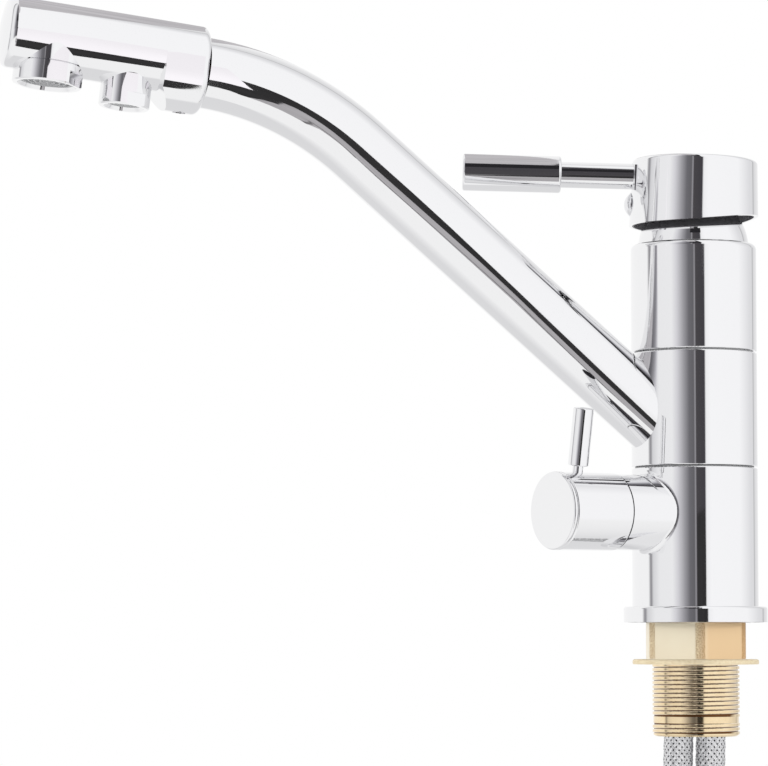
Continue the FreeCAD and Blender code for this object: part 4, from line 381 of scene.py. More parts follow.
def plated_cap(tones):
    """The lever's cap: chrome outside, and inside, where the plating stops, a dull casting darkened with
    painted shade.
    """
    material, tree, shader, place, polish = plated_mirror("plated_cap", tones)
    height = add_node(tree, "SeparateXYZ", {"Vector": place}).outputs["Z"]
    within = add_node(tree, "Math", {0: from_axis(tree, place), 1: CAP_INSIDE_RADIUS * MM},
                      operation="LESS_THAN")
    under = add_node(tree, "Math", {0: height, 1: CAP_INSIDE_TOP * MM}, operation="LESS_THAN")
    inside = add_node(tree, "Math", {0: within, 1: under}, operation="MULTIPLY")
    grain = add_node(tree, "TexNoise", {"Vector": place, "Scale": per(1.43), "Detail": 3.0})
    # Painted shade: the cap's inside is a dark grey, with a fine random grain.
    casting_in_painted_shade = add_node(tree, "MixRGB", {"Fac": grain, "Color1": colour("#858488"),
                                     "Color2": colour("#9C9B9F")})
    tone = add_node(tree, "MixRGB", {"Fac": inside, "Color1": tones.chrome, "Color2": casting_in_painted_shade})
    plated = add_node(tree, "Math", {0: 1.0, 1: inside}, operation="SUBTRACT")
    rough = add_node(tree, "Math", {0: inside, 1: 0.6}, operation="MULTIPLY")
    both = add_node(tree, "Math", {0: rough, 1: polish}, operation="ADD")
    fill_sockets(shader, {"Base Color": tone, "Metallic": plated, "Roughness": both})
    return material


def rolled_brass(tones):
    """Brass with a rolled thread: burnished crests, and grooves darkened by cutting oil and painted
    shade.
    """
    material, tree, shader, place = new_material("rolled_brass", tones.thread, 1.0, 0.13)
    crest = bpy.context.scene.tap_sizes.shank_dia / 2
    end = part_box("shank")[0].z
    height = add_node(tree, "SeparateXYZ", {"Vector": place}).outputs["Z"]
    # Painted shade and oil: the grooves darken towards their roots, except close to the shank's end.
    shallow, deep = [crest - depth * MM for depth in OIL_AND_SHADE_DEPTH]
    groove = add_node(tree, "MapRange", {"Value": from_axis(tree, place), "From Min": deep,
                                         "From Max": shallow, "To Min": 1.0, "To Max": 0.0})
    begins, covers = [end + rise * MM for rise in OIL_AND_SHADE_RISE]
    past_end = add_node(tree, "MapRange", {"Value": height, "From Min": begins, "From Max": covers})
    oil_and_painted_shade = add_node(tree, "Math", {0: groove, 1: past_end}, operation="MULTIPLY")
    cloud = add_node(tree, "TexNoise", {"Vector": place, "Scale": per(4.55), "Detail": 4.0})
    worn = add_node(tree, "MapRange", {**NOISE_SPAN, "Value": cloud, "To Max": 0.5})
    clean = add_node(tree, "MixRGB", {"Fac": worn, "Color1": tones.thread, "Color2": colour("#E9CDA0")})
    tone = add_node(tree, "MixRGB", {"Fac": oil_and_painted_shade, "Color1": clean, "Color2": colour("#6E4A2C")})
    rough = add_node(tree, "MapRange", {"Value": oil_and_painted_shade, "To Min": 0.11, "To Max": 0.42})
    drag = add_node(tree, "Mapping", {"Vector": place, "Scale": (1.0, 1.0, 14.0)})
    vary(tree, shader, drag, 3.33, 2.0, relief=(0.25, 0.03))
    fill_sockets(shader, {"Base Color": tone, "Roughness": rough})
    return material


def stamped_brass(tones):
    """Brass sheet stamped to a washer: pale, evenly satin, with the rolled sheet's faint grain."""
    material, tree, shader, place = new_material("stamped_brass", tones.sheet, 0.5, 0.5)
    grain = add_node(tree, "Mapping", {"Vector": place, "Scale": (1.0, 8.0, 8.0)})
    vary(tree, shader, grain, 6.67, 4.0, tones=(tones.sheet, "#EAD5AC", 0.6), rough=(0.42, 0.58))
    return material


def turned_brass(tones):
    """Free-cutting brass as it leaves the lathe: a satin gold with rings of tool marks 0.7 mm apart.

    Real feed marks are nearer 0.1 mm and are drawn coarser so that they show.
    """
    material, tree, shader, place = new_material("turned_brass", tones.brass, 1.0, 0.2)
    tarnish = add_node(tree, "TexNoise", {"Vector": place, "Scale": per(6.25), "Detail": 5.0})
    tone = add_node(tree, "ValToRGB", {"Fac": tarnish})
    dull, clean = tone.color_ramp.elements
    dull.position, dull.color = 0.35, colour("#E3C38C")
    clean.position, clean.color = 0.62, (*tones.brass, 1.0)
    # A wave's bands lie a tenth of pi apart at scale 1.
    rings = add_node(tree, "TexWave", {"Vector": place, "Scale": per(0.7) * math.pi / 10,
                                       "Distortion": 0.6, "Detail Scale": 4.0},
                     wave_type="BANDS", bands_direction="Z")
    marks = add_node(tree, "Bump", {"Height": rings.outputs["Fac"], "Strength": 0.12,
                                    "Distance": 0.02 * MM})
    satin = add_node(tree, "MapRange", {**NOISE_SPAN, "Value": tarnish, "To Min": 0.16, "To Max": 0.27})
    fill_sockets(shader, {"Base Color": tone, "Roughness": satin, "Normal": marks})
    return material


def drawn_brass(tones):
    """Hexagon bar cut to a nut: smooth drawn flats, browner on one side as painted shade, and speckled
    turned corners.
    """
    material, tree, shader, place = new_material("drawn_brass", tones.flats, 0.85, 0.34)
    edge = bpy.context.scene.tap_sizes.nut_turned / 2
    inner, outer = [edge - width * MM for width in ROUGH_BAND]
    corner = add_node(tree, "MapRange", {"Value": from_axis(tree, place), "From Min": inner,
                                         "From Max": outer})
    # Painted shade: the flats turn browner towards one side of the nut.
    across = add_node(tree, "VectorMath", {0: place, 1: level_way(PAINTED_SHADE_SIDE)},
                      operation="DOT_PRODUCT").outputs["Value"]
    side = add_node(tree, "MapRange", {"Value": across, "From Min": -1.0 * MM, "From Max": 3.5 * MM})
    cloud = add_node(tree, "TexNoise", {"Vector": place, "Scale": per(11.1), "Detail": 3.0})
    fresh = add_node(tree, "MixRGB", {"Fac": cloud, "Color1": tones.flats, "Color2": colour("#F7E8CB")})
    clean = add_node(tree, "MixRGB", {"Fac": side, "Color1": fresh, "Color2": colour("#EFCFA3")})
    grain = add_node(tree, "TexNoise", {"Vector": place, "Scale": per(0.385), "Detail": 2.0})
    speckle = add_node(tree, "Math", {0: grain, 1: 0.5}, operation="GREATER_THAN")
    band = add_node(tree, "Math", {0: speckle, 1: corner}, operation="MULTIPLY")
    faint = add_node(tree, "Math", {0: band, 1: 0.45}, operation="MULTIPLY")
    tone = add_node(tree, "MixRGB", {"Fac": faint, "Color1": clean, "Color2": colour("#C9A268")})
    rough = add_node(tree, "MapRange", {"Value": corner, "To Min": 0.34, "To Max": 0.8})
    drag = add_node(tree, "Mapping", {"Vector": place, "Scale": (1.0, 1.0, 9.0)})
    lines = add_node(tree, "TexNoise", {"Vector": drag, "Scale": per(3.85), "Detail": 3.0})
    relief = add_node(tree, "Math", {0: lines, 1: faint}, operation="ADD")
    marks = add_node(tree, "Bump", {"Height": relief, "Strength": 0.2, "Distance": 0.03 * MM})
    fill_sockets(shader, {"Base Color": tone, "Roughness": rough, "Normal": marks})
    return material


def bright_stainless(tones):
    """Cold-headed stainless steel: a bright grey metal with fine random scratches."""
    material, tree, shader, place = new_material("bright_stainless", tones.steel, 1.0, 0.22)
    vary(tree, shader, place, 1.11, 6.0, rough=(0.16, 0.32), relief=(0.1, 0.01))
    return material


def braided_wire(tones):
    """Flat bands of bright stainless wires side by side: four rounded strands a band, with painted shade
    between them.

    U runs across a band and V along it, one unit to a band's width.
    """
    material, tree, shader, place = new_material("braided_wire", tones.wire, 1.0, 0.2)
    strands = 4.0
    across = add_node(tree, "SeparateXYZ", {"Vector": add_node(tree, "UVMap")}).outputs["X"]
    phase = add_node(tree, "Math", {0: across, 1: strands * math.pi}, operation="MULTIPLY")
    wave = add_node(tree, "Math", {0: phase}, operation="SINE")
    crown = add_node(tree, "Math", {0: wave}, operation="ABSOLUTE")
    # Painted shade: the wires darken where each strand meets its neighbour.
    shade = add_node(tree, "ValToRGB", {"Fac": crown})
    between, strand = shade.color_ramp.elements
    between.position, between.color = 0.05, colour("#8A8A8C")
    strand.position, strand.color = 0.35, (*tones.wire, 1.0)
    vary(tree, shader, place, 2.0, 3.0, tones=(shade, "#C4C4C6", 0.2))
    rounds = add_node(tree, "Bump", {"Height": crown, "Strength": 0.6, "Distance": 0.12 * MM})
    fill_sockets(shader, {"Normal": rounds})
    return material


def nitrile_rubber(tones):
    """Moulded nitrile: near black and matt, with a faint bloom of wax in patches."""
    material, tree, shader, place = new_material("nitrile_rubber", tones.rubber, 0.0, 0.6)
    vary(tree, shader, place, 4.55, 4.0, tones=(tones.rubber, "#2A2A2B", 0.5), rough=(0.5, 0.72))
    return material


def moulded_acetal(tones):
    """Injection-moulded acetal: grey-white, waxy, with a low sheen and a fine spark-eroded grain."""
    material, tree, shader, place = new_material("moulded_acetal", tones.acetal, 0.0, 0.38)
    vary(tree, shader, place, 0.556, 3.0, relief=(0.15, 0.03))
    vary(tree, shader, place, 12.5, 2.0, tones=(tones.acetal, "#CDCECF", 0.6))
    return material


def lapped_alumina(tones):
    """Lapped alumina ceramic: warm white, dense and glossy, with the faint cloud of its pressed grain."""
    material, tree, shader, place = new_material("lapped_alumina", tones.ceramic, 0.0, 0.12)
    vary(tree, shader, place, 3.33, 4.0, tones=(tones.ceramic, "#E1DCD0", 1.0), rough=(0.08, 0.18))
    return material


def plated_button(tones):
    """The index plug: a small domed plastic button with a bright metallised face."""
    material, tree, shader, place = new_material("plated_button", tones.button, 1.0, 0.05)
    vary(tree, shader, place, 2.5, 3.0, rough=(0.03, 0.08))
    return material


FINISHES = {
    "chrome_plate": polished_chrome,
    "bare_brass": turned_brass,
    "stainless_steel": bright_stainless,
    "steel_braid": braided_wire,
    "black_rubber": nitrile_rubber,
    "moulded_plastic": moulded_acetal,
    "alumina_ceramic": lapped_alumina,
    "index_plastic": plated_button,
}
NODE_FINISHES = {"lever_cap": plated_cap}


def finish_named(maker):
    """The material that a maker makes, made once."""
    return bpy.data.materials.get(maker.__name__) or maker(bpy.context.scene.tap_colours)


def level_way(degrees):
    """The level direction at so many degrees from +X."""
    return Vector((math.cos(math.radians(degrees)), math.sin(math.radians(degrees)), 0.0))


def deselect_all():
    if bpy.context.object and bpy.context.object.mode != "OBJECT":
        bpy.ops.object.mode_set(mode="OBJECT")
    bpy.ops.object.select_all(action="DESELECT")


def select_only(piece, *others):
    """Selects a piece and makes it active, with others selected beside it."""
    deselect_all()
    for chosen in (piece, *others):
        chosen.select_set(True)
    bpy.context.view_layer.objects.active = piece


def edit_all(piece):
    """Opens a piece in edit mode with everything selected."""
    select_only(piece)
    bpy.ops.object.mode_set(mode="EDIT")
    bpy.ops.mesh.select_mode(type="VERT")
    bpy.ops.mesh.select_all(action="SELECT")


def face_outward():
    """Turns the open mesh's faces outward and leaves edit mode."""
    bpy.ops.mesh.select_all(action="SELECT")
    bpy.ops.mesh.normals_make_consistent(inside=False)
    bpy.ops.object.mode_set(mode="OBJECT")


def apply_modifier(piece, kind, **settings):
    select_only(piece)
    modifier = piece.modifiers.new(kind.lower(), kind)
    for name, value in settings.items():
        setattr(modifier, name, value)
    bpy.ops.object.modifier_apply(modifier=modifier.name)


def polygon_of(name, corners, filled):
    """A circle whose corners are moved to the given places, in millimetres."""
    deselect_all()
    bpy.ops.mesh.primitive_circle_add(vertices=len(corners), radius=MM,
                                      fill_type="NGON" if filled else "NOTHING")
    piece = bpy.context.object
    piece.name = piece.data.name = name
    for vertex, corner in zip(piece.data.vertices, corners):
        vertex.co = Vector(corner) * MM
    return piece


def loop_of(name, corners):
    """A closed wire loop of (radius, height) corners in millimetres, on the XZ plane."""
    return polygon_of(name, [(radius, 0.0, height) for radius, height in corners], False)


def turned_solid(name, corners, steps=96):
    """Spins a closed outline of (radius, height) corners about the Z axis into a solid of revolution."""
    piece = loop_of(name, corners)
    edit_all(piece)
    bpy.ops.mesh.spin(steps=steps, angle=2 * math.pi, center=(0.0, 0.0, 0.0), axis=UP)
    bpy.ops.mesh.select_all(action="SELECT")
    bpy.ops.mesh.remove_doubles(threshold=0.002 * MM)
    face_outward()
    return piece


def smooth_by_angle(piece, degrees):
    select_only(piece)
    bpy.ops.object.shade_smooth_by_angle(angle=math.radians(degrees))


def stand_at(piece, base, direction=UP):
    """Turns the mesh's +Z to a direction and moves its origin to base, both kept in the mesh."""
    turn = UP.rotation_difference(direction).to_matrix().to_4x4()
    piece.data.transform(Matrix.Translation(base) @ turn)


def finished(piece, body, slot, maker, *replaced):
    """Hands a piece over: its material, its body, and the CAD nodes that it stands for. The slot is not
    used.
    """
    if not piece.data.polygons:
        raise RuntimeError(piece.name + " came out empty")
    piece.data.materials.clear()
    piece.data.materials.append(finish_named(maker))
    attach(piece, body)
    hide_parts(*replaced)


class TAP_OT_studio(bpy.types.Operator):
    """Camera at the photograph's place, pale floor, soft lamp and the panels that the plating mirrors"""

    bl_idname = "tap.studio"
    bl_label = "Studio"

    def execute(self, context):
        lens = bpy.data.cameras.new("photograph_camera")
        lens.lens = CAMERA_LENS
        lens.sensor_width = CAMERA_SENSOR
        camera = bpy.data.objects.new("photograph_camera", lens)
        camera.location = CAMERA_PLACE
        camera.rotation_euler = [math.radians(angle)
                                 for angle in (90.0 + CAMERA_RISE, 0.0, CAMERA_AZIMUTH)]
        context.scene.collection.objects.link(camera)
        context.scene.camera = camera
        context.scene.view_settings.view_transform = "Standard"
        self.lay_floor(context)
        self.stand_lamp(context)
        self.light_panels(context)
        for name, plane, outline, brightness in CARDS:
            self.hang_card(name, [(plane, across, up) for across, up in outline], brightness)
        toward, right = level_way(CAMERA_AZIMUTH - 90.0), level_way(CAMERA_AZIMUTH)
        self.hang_card("card_over_lever", [toward * near + right * aside + UP * LEVER_CARD_HEIGHT
                                           for near, aside in LEVER_CARD], LEVER_CARD_BRIGHTNESS)
        return {"FINISHED"}

    def lay_floor(self, context):
        """A wide round floor just under the hoses' ends."""
        deselect_all()
        bpy.ops.mesh.primitive_circle_add(vertices=96, radius=FLOOR_RADIUS, fill_type="NGON",
                                          location=(0.0, 0.0, CAD_BOX[0][2] - FLOOR_DROP))
        floor = context.object
        floor.name = "floor"
        material, tree, shader, place = new_material("pale_floor", context.scene.tap_colours.floor,
                                                     0.0, 0.8)
        vary(tree, shader, place, 25.0, 3.0, rough=(0.75, 0.85))
        floor.data.materials.append(material)
        floor.visible_glossy = False

    def stand_lamp(self, context):
        """A soft lamp that the plating doesn't show."""
        lamp = bpy.data.lights.new("soft_lamp", "AREA")
        lamp.shape = "DISK"
        lamp.size = LAMP_WIDTH
        lamp.energy = LAMP_POWER
        lamp_stand = bpy.data.objects.new("soft_lamp", lamp)
        lamp_stand.location = LAMP_PLACE
        lamp_stand.rotation_euler = (LAMP_AIM - LAMP_PLACE).to_track_quat("-Z", "Y").to_euler()
        lamp_stand.visible_glossy = False
        context.scene.collection.objects.link(lamp_stand)

    def hang_card(self, name, corners, brightness):
        """A card of cloth round the camera, which only plated surfaces show."""
        card = polygon_of(name, corners, True)
        material, tree, shader, place = new_material(name, colour("#000000"), 0.0, 1.0)
        weave = add_node(tree, "TexNoise", {"Vector": place, "Scale": per(111.0), "Detail": 1.0})
        glow = add_node(tree, "MapRange", {**NOISE_SPAN, "Value": weave, "To Min": brightness * 0.9,
                                           "To Max": brightness * 1.1})
        cloth = add_node(tree, "Emission", {"Color": CLOTH_TINT, "Strength": glow})
        fill_sockets(tree.nodes["Material Output"], {"Surface": cloth})
        tree.nodes.remove(shader)
        card.data.materials.append(material)
        card.visible_camera = False
        card.visible_diffuse = False
        card.visible_shadow = False

    def light_panels(self, context):
        """World light: a white backdrop, plain light on matt surfaces, and the panels on shiny ones."""
        world = bpy.data.worlds.new("studio")
        context.scene.world = world
        world.use_nodes = True
        tree = world.node_tree
        tree.nodes.clear()
        toward, right = level_way(CAMERA_AZIMUTH - 90.0), level_way(CAMERA_AZIMUTH)
        way = add_node(tree, "TexCoord").outputs["Generated"]
        ahead, aside, rise = [add_node(tree, "VectorMath", {0: way, 1: axis},
                                       operation="DOT_PRODUCT").outputs["Value"]
                              for axis in (toward, right, UP)]
        bearing = add_node(tree, "Math", {0: aside, 1: ahead}, operation="ARCTAN2")
        azimuth = add_node(tree, "Math", {0: bearing}, operation="DEGREES")
        slope = add_node(tree, "Math", {0: rise}, operation="ARCSINE")
        height = add_node(tree, "Math", {0: slope}, operation="DEGREES")
        lean = add_node(tree, "MapRange", {"Value": height, "From Min": LEAN_FROM, "From Max": LEAN_TO,
                                           "To Max": LEAN})
        leaned = add_node(tree, "Math", {0: azimuth, 1: lean}, operation="ADD")
        ring = add_node(tree, "ValToRGB", {"Fac": add_node(tree, "MapRange", {
            "Value": leaned, "From Min": -180.0, "From Max": 180.0})})
        stops = ring.color_ramp.elements
        for index, (degrees, grey) in enumerate(STUDIO_RING):
            position = (degrees + 180.0) / 360.0
            stop = stops[index] if index < 2 else stops.new(position)
            stop.position = position
            stop.color = self.panel(context, grey)
        below = add_node(tree, "MapRange", {"Value": height, "From Min": TABLE_FROM, "From Max": TABLE_TO,
                                            "To Min": 1.0, "To Max": 0.0})
        sideways = add_node(tree, "Math", {0: azimuth}, operation="ABSOLUTE")
        behind = add_node(tree, "MapRange", {"Value": sideways, "From Min": BEHIND_FROM,
                                             "From Max": BEHIND_TO})
        shaded = add_node(tree, "Math", {0: below, 1: behind}, operation="MULTIPLY")
        in_front = add_node(tree, "Math", {0: sideways, 1: FLAG_SIDE}, operation="LESS_THAN")
        middle, reach = (FLAG_FROM + FLAG_TO) / 2, (FLAG_TO - FLAG_FROM) / 2
        level_with_flag = add_node(tree, "Math", {0: height, 1: middle, 2: reach}, operation="COMPARE")
        flag = add_node(tree, "Math", {0: in_front, 1: level_with_flag}, operation="MULTIPLY")
        view = ring
        for factor, grey in ((below, "#EFEFF0"), (shaded, "#D8D8DA"), (flag, "#262528")):
            view = add_node(tree, "MixRGB", {"Fac": factor, "Color1": view,
                                             "Color2": self.panel(context, grey)})
        path = add_node(tree, "LightPath")
        shiny = add_node(tree, "Math", {0: path.outputs["Is Glossy Ray"],
                                        1: path.outputs["Is Transmission Ray"]}, operation="MAXIMUM")
        light = add_node(tree, "MixRGB", {"Fac": shiny, "Color1": MATT_LIGHT, "Color2": view})
        light = add_node(tree, "MixRGB", {"Fac": path.outputs["Is Camera Ray"], "Color1": light,
                                          "Color2": BACKDROP})
        background = add_node(tree, "Background", {"Color": light, "Strength": 1.0})
        add_node(tree, "OutputWorld", {"Surface": background})

    def panel(self, context, grey):
        """How bright a panel is for plating to show this grey."""
        mirror = context.scene.tap_colours.chrome
        return [seen / share for seen, share in zip(colour(grey), mirror)] + [1.0]


def route_points(stem_angle, lean_side, tuck):
    """A hose's route in metres. The tuck moves two of its points and leaves both ends in place."""
    points = []
    for index, (out, height) in enumerate(HOSE_ROUTE):
        aside = out * lean_side + (tuck if index in TUCKED_POINTS else 0.0)
        points.append((level_way(stem_angle) * STEM_CIRCLE + level_way(LEAN_AZIMUTH) * aside
                       + UP * height) * MM)
    return points


class TAP_OT_hoses(bpy.types.Operator):
    """Two supply hoses: a rubber liner on the route, and flat bands of wire braided over it"""

    bl_idname = "tap.hoses"
    bl_label = "Braided hoses"

    def execute(self, context):
        sizes = context.scene.tap_sizes
        for side, stem_angle, lean_side, tuck in HOSES:
            route = route_points(stem_angle, lean_side, tuck)
            liner = self.lay_liner(context, side, route, sizes.hose_dia / 2 - LINER_INSET * MM)
            line = self.centreline(liner)
            braid = self.weave(context, side, line)
            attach(liner, "column")
            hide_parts(side + "_tail")
            finished(braid, "column", "steel_braid", braided_wire)
        return {"FINISHED"}

    def lay_liner(self, context, side, route, radius):
        """A smooth round curve along the route."""
        curve = bpy.data.curves.new(side + "_hose_liner", "CURVE")
        curve.dimensions = "3D"
        curve.resolution_u = 24
        spline = curve.splines.new("NURBS")
        spline.points.add(len(route) - 1)
        for point, spot in zip(spline.points, route):
            point.co = (*spot, 1.0)
        spline.order_u = 3
        spline.use_endpoint_u = True
        curve.bevel_depth = radius
        curve.bevel_resolution = 6
        curve.use_fill_caps = True
        curve.materials.append(finish_named(nitrile_rubber))
        liner = bpy.data.objects.new(side + "_hose_liner", curve)
        context.scene.collection.objects.link(liner)
        return liner

    def centreline(self, liner):
        """The spline's own points, read with its bevel off."""
        depth = liner.data.bevel_depth
        liner.data.bevel_depth = 0.0
        bpy.context.view_layer.update()
        mesh = bpy.data.meshes.new_from_object(liner)
        line = [vertex.co.copy() for vertex in mesh.vertices]
        bpy.data.meshes.remove(mesh)
        liner.data.bevel_depth = depth
        if line[0].z < line[-1].z:
            line.reverse()
        return line

    def weave(self, context, side, line):
        """Bands that wind both ways along the centreline and pass over and under each other."""
        sizes = context.scene.tap_sizes
        lengths = [0.0]
        for before, after in zip(line, line[1:]):
            lengths.append(lengths[-1] + (after - before).length)
        bands = sizes.braid_bands
        pitch = in_mm(sizes.braid_pitch) * MM
        steps_per_turn = bands * 4
        count = int(lengths[-1] / pitch * steps_per_turn)
        middle = sizes.hose_dia / 2 - BAND_INSET * MM
        half_width = sizes.braid_band_width / 2
        corners = len(BAND_SECTION)
        frames = [self.frame_at(line, lengths, lengths[-1] * step / count) for step in range(count + 1)]
        vertices = []
        faces = []
        spots = []
        for hand in (1.0, -1.0):
            for band in range(bands):
                start = len(vertices)
                for step, (centre, ahead, aside, across) in enumerate(frames):
                    turn = hand * 2 * math.pi * step / steps_per_turn + 2 * math.pi * band / bands
                    rise = hand * math.cos(step * math.pi / 2 + math.pi * band)
                    outward = aside * math.cos(turn) + across * math.sin(turn)
                    around = (across * math.cos(turn) - aside * math.sin(turn)) * hand
                    along = (around * middle + ahead * pitch / (2 * math.pi)).normalized()
                    flat = along.cross(outward)
                    core = centre + outward * (middle + BAND_LIFT * MM * rise)
                    for offset, thick in BAND_SECTION:
                        vertices.append(core + flat * half_width * offset
                                        + outward * BAND_HALF_THICK * MM * thick)
                        spots.append((offset * 0.5 + 0.5, step * pitch / steps_per_turn / half_width / 2))
                for step in range(count):
                    low = start + step * corners
                    for corner in range(corners):
                        after = (corner + 1) % corners
                        faces.append((low + corner, low + after, low + corners + after,
                                      low + corners + corner))
                faces.append(tuple(range(start, start + corners)))
                last = start + count * corners
                faces.append(tuple(reversed(range(last, last + corners))))
        mesh = bpy.data.meshes.new(side + "_hose_braid")
        mesh.from_pydata(vertices, [], faces)
        layer = mesh.uv_layers.new(name="band")
        for loop in mesh.loops:
            layer.data[loop.index].uv = spots[loop.vertex_index]
        mesh.validate()
        braid = bpy.data.objects.new(side + "_hose_braid", mesh)
        context.scene.collection.objects.link(braid)
        edit_all(braid)
        face_outward()
        smooth_by_angle(braid, 50.0)
        return braid

    def frame_at(self, line, lengths, distance):
        """Point, direction and two side directions at a distance along the line."""
        index = 0
        while index < len(lengths) - 2 and lengths[index + 1] < distance:
            index += 1
        share = (distance - lengths[index]) / (lengths[index + 1] - lengths[index])
        point = line[index].lerp(line[index + 1], share)
        ahead = (line[index + 1] - line[index]).normalized()
        aside = ahead.cross(Vector((0.0, 1.0, 0.0))).normalized()
        return point, ahead, aside, ahead.cross(aside)


class TAP_OT_shank(bpy.types.Operator):
    """Threaded brass shank with its plain groove and open bore"""

    bl_idname = "tap.shank"
    bl_label = "Threaded shank"

    def execute(self, context):
        sizes = context.scene.tap_sizes
        low, high = [corner.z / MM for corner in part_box("shank")]
        crest = in_mm(sizes.shank_dia) / 2
        root = crest - in_mm(sizes.thread_depth)
        bore = in_mm(sizes.shank_bore) / 2
        pitch = in_mm(sizes.thread_pitch)
        plain = crest - GROOVE_DEPTH
        groove_low, groove_high = [low + rise for rise in GROOVE_RISE]
        shank = turned_solid("threaded_shank", (
            (bore + 0.4, low), (root - 0.3, low), (plain, low + 0.6), (plain, low + pitch * 0.7),
            (root, low + pitch * 0.7), (root, groove_low - pitch * 0.4),
            (plain, groove_low - pitch * 0.4), (plain, groove_high + pitch * 0.4),
            (root, groove_high + pitch * 0.4), (root, high), (bore, high), (bore, low + 0.4)))
        ridges = [self.ridge(root, crest, low + 0.15, groove_low, pitch),
                  self.ridge(root, crest, groove_high, high, pitch)]
        select_only(shank, *ridges)
        bpy.ops.object.join()
        smooth_by_angle(shank, 28.0)
        finished(shank, "column", "bare_brass", rolled_brass, "shank")
        shank.visible_glossy = False
        return {"FINISHED"}

    def ridge(self, root, crest, low, high, pitch):
        """One thread wound from low to high: a closed solid, sunk into the core, tapered at its ends."""
        foot = root - RIDGE_SINK
        turns = (high - low) / pitch - 0.8
        profile = loop_of("ridge", (
            (foot, low), (crest - 0.06, low + pitch * 0.2), (crest, low + pitch * 0.26),
            (crest, low + pitch * 0.74), (crest - 0.06, low + pitch * 0.8), (foot, low + pitch * 0.96)))
        corners = len(profile.data.vertices)
        steps = int(RIDGE_STEPS * turns)
        apply_modifier(profile, "SCREW", axis="Z", angle=2 * math.pi * turns, iterations=1,
                       screw_offset=pitch * turns * MM, steps=steps, render_steps=steps)
        last = len(profile.data.vertices) // corners - 1
        for vertex in profile.data.vertices:
            step = vertex.index // corners
            share = max(0.05, min(1.0, step / TAPER_STEPS, (last - step) / TAPER_STEPS))
            reach = Vector((vertex.co.x, vertex.co.y, 0.0))
            inside = reach.normalized() * foot * MM
            vertex.co.x, vertex.co.y = (inside + (reach - inside) * share).xy
        edit_all(profile)
        bpy.ops.mesh.fill_holes(sides=corners)
        face_outward()
        return profile


def hexagon_nut(name, flats, height, turn, envelope):
    """A length of hexagon bar cut by a turned envelope, with its sharp edges just broken."""
    deselect_all()
    bpy.ops.mesh.primitive_cylinder_add(vertices=6, radius=flats / math.sqrt(3.0) * MM,
                                        depth=height * MM, location=UP * height / 2 * MM,
                                        rotation=(0.0, 0.0, math.radians(turn + 30.0)))
    bar = bpy.context.object
    bar.name = bar.data.name = name
    bpy.ops.object.transform_apply(location=True, rotation=True, scale=True)
    apply_modifier(bar, "BOOLEAN", operation="INTERSECT", object=envelope, solver="EXACT")
    bpy.data.objects.remove(envelope)
    apply_modifier(bar, "BEVEL", width=0.12 * MM, segments=2, limit_method="ANGLE",
                   angle_limit=math.radians(25.0))
    smooth_by_angle(bar, 24.0)
    return bar


class TAP_OT_lock_nut(bpy.types.Operator):
    """Brass lock nut: hexagon bar with turned corners, chamfered ends and a countersunk thread"""

    bl_idname = "tap.lock_nut"
    bl_label = "Lock nut"

    def execute(self, context):
        sizes = context.scene.tap_sizes
        low, high = [corner.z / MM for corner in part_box("lock_nut")]
        height = high - low
        turned = in_mm(sizes.nut_turned) / 2
        hole = in_mm(sizes.shank_dia) / 2 + 0.03
        envelope = turned_solid("nut_envelope", (
            (hole + NUT_CHAMFER, -0.01), (turned - NUT_CHAMFER, -0.01), (turned, 0.4),
            (turned, height - 0.4), (turned - NUT_CHAMFER, height + 0.01),
            (hole + NUT_CHAMFER, height + 0.01), (hole, height - NUT_CHAMFER), (hole, NUT_CHAMFER)))
        nut = hexagon_nut("lock_nut_hexagon", in_mm(sizes.nut_flats), height, LOCK_NUT_TURN, envelope)
        stand_at(nut, UP * low * MM)
        finished(nut, "column", "bare_brass", drawn_brass, "lock_nut")
        nut.visible_glossy = False
        return {"FINISHED"}


class TAP_OT_clamp_washer(bpy.types.Operator):
    """Thin brass clamp washer, punched, with one rounded and one sharp side"""

    bl_idname = "tap.clamp_washer"
    bl_label = "Clamp washer"

    def execute(self, context):
        sizes = context.scene.tap_sizes
        low, high = [corner.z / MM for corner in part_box("clamp_washer")]
        rim = in_mm(sizes.washer_dia) / 2
        hole = in_mm(sizes.shank_dia) / 2 + 0.05
        washer = turned_solid("clamp_washer_ring", (
            (hole, low + 0.2), (hole + 0.2, low), (rim - 0.25, low), (rim, low + 0.3), (rim, high - 0.7),
            (rim - 0.2, high - 0.25), (rim - 0.7, high), (hole, high)), steps=128)
        smooth_by_angle(washer, 40.0)
        finished(washer, "column", "bare_brass", stamped_brass, "clamp_washer")
        washer.visible_glossy = False
        return {"FINISHED"}


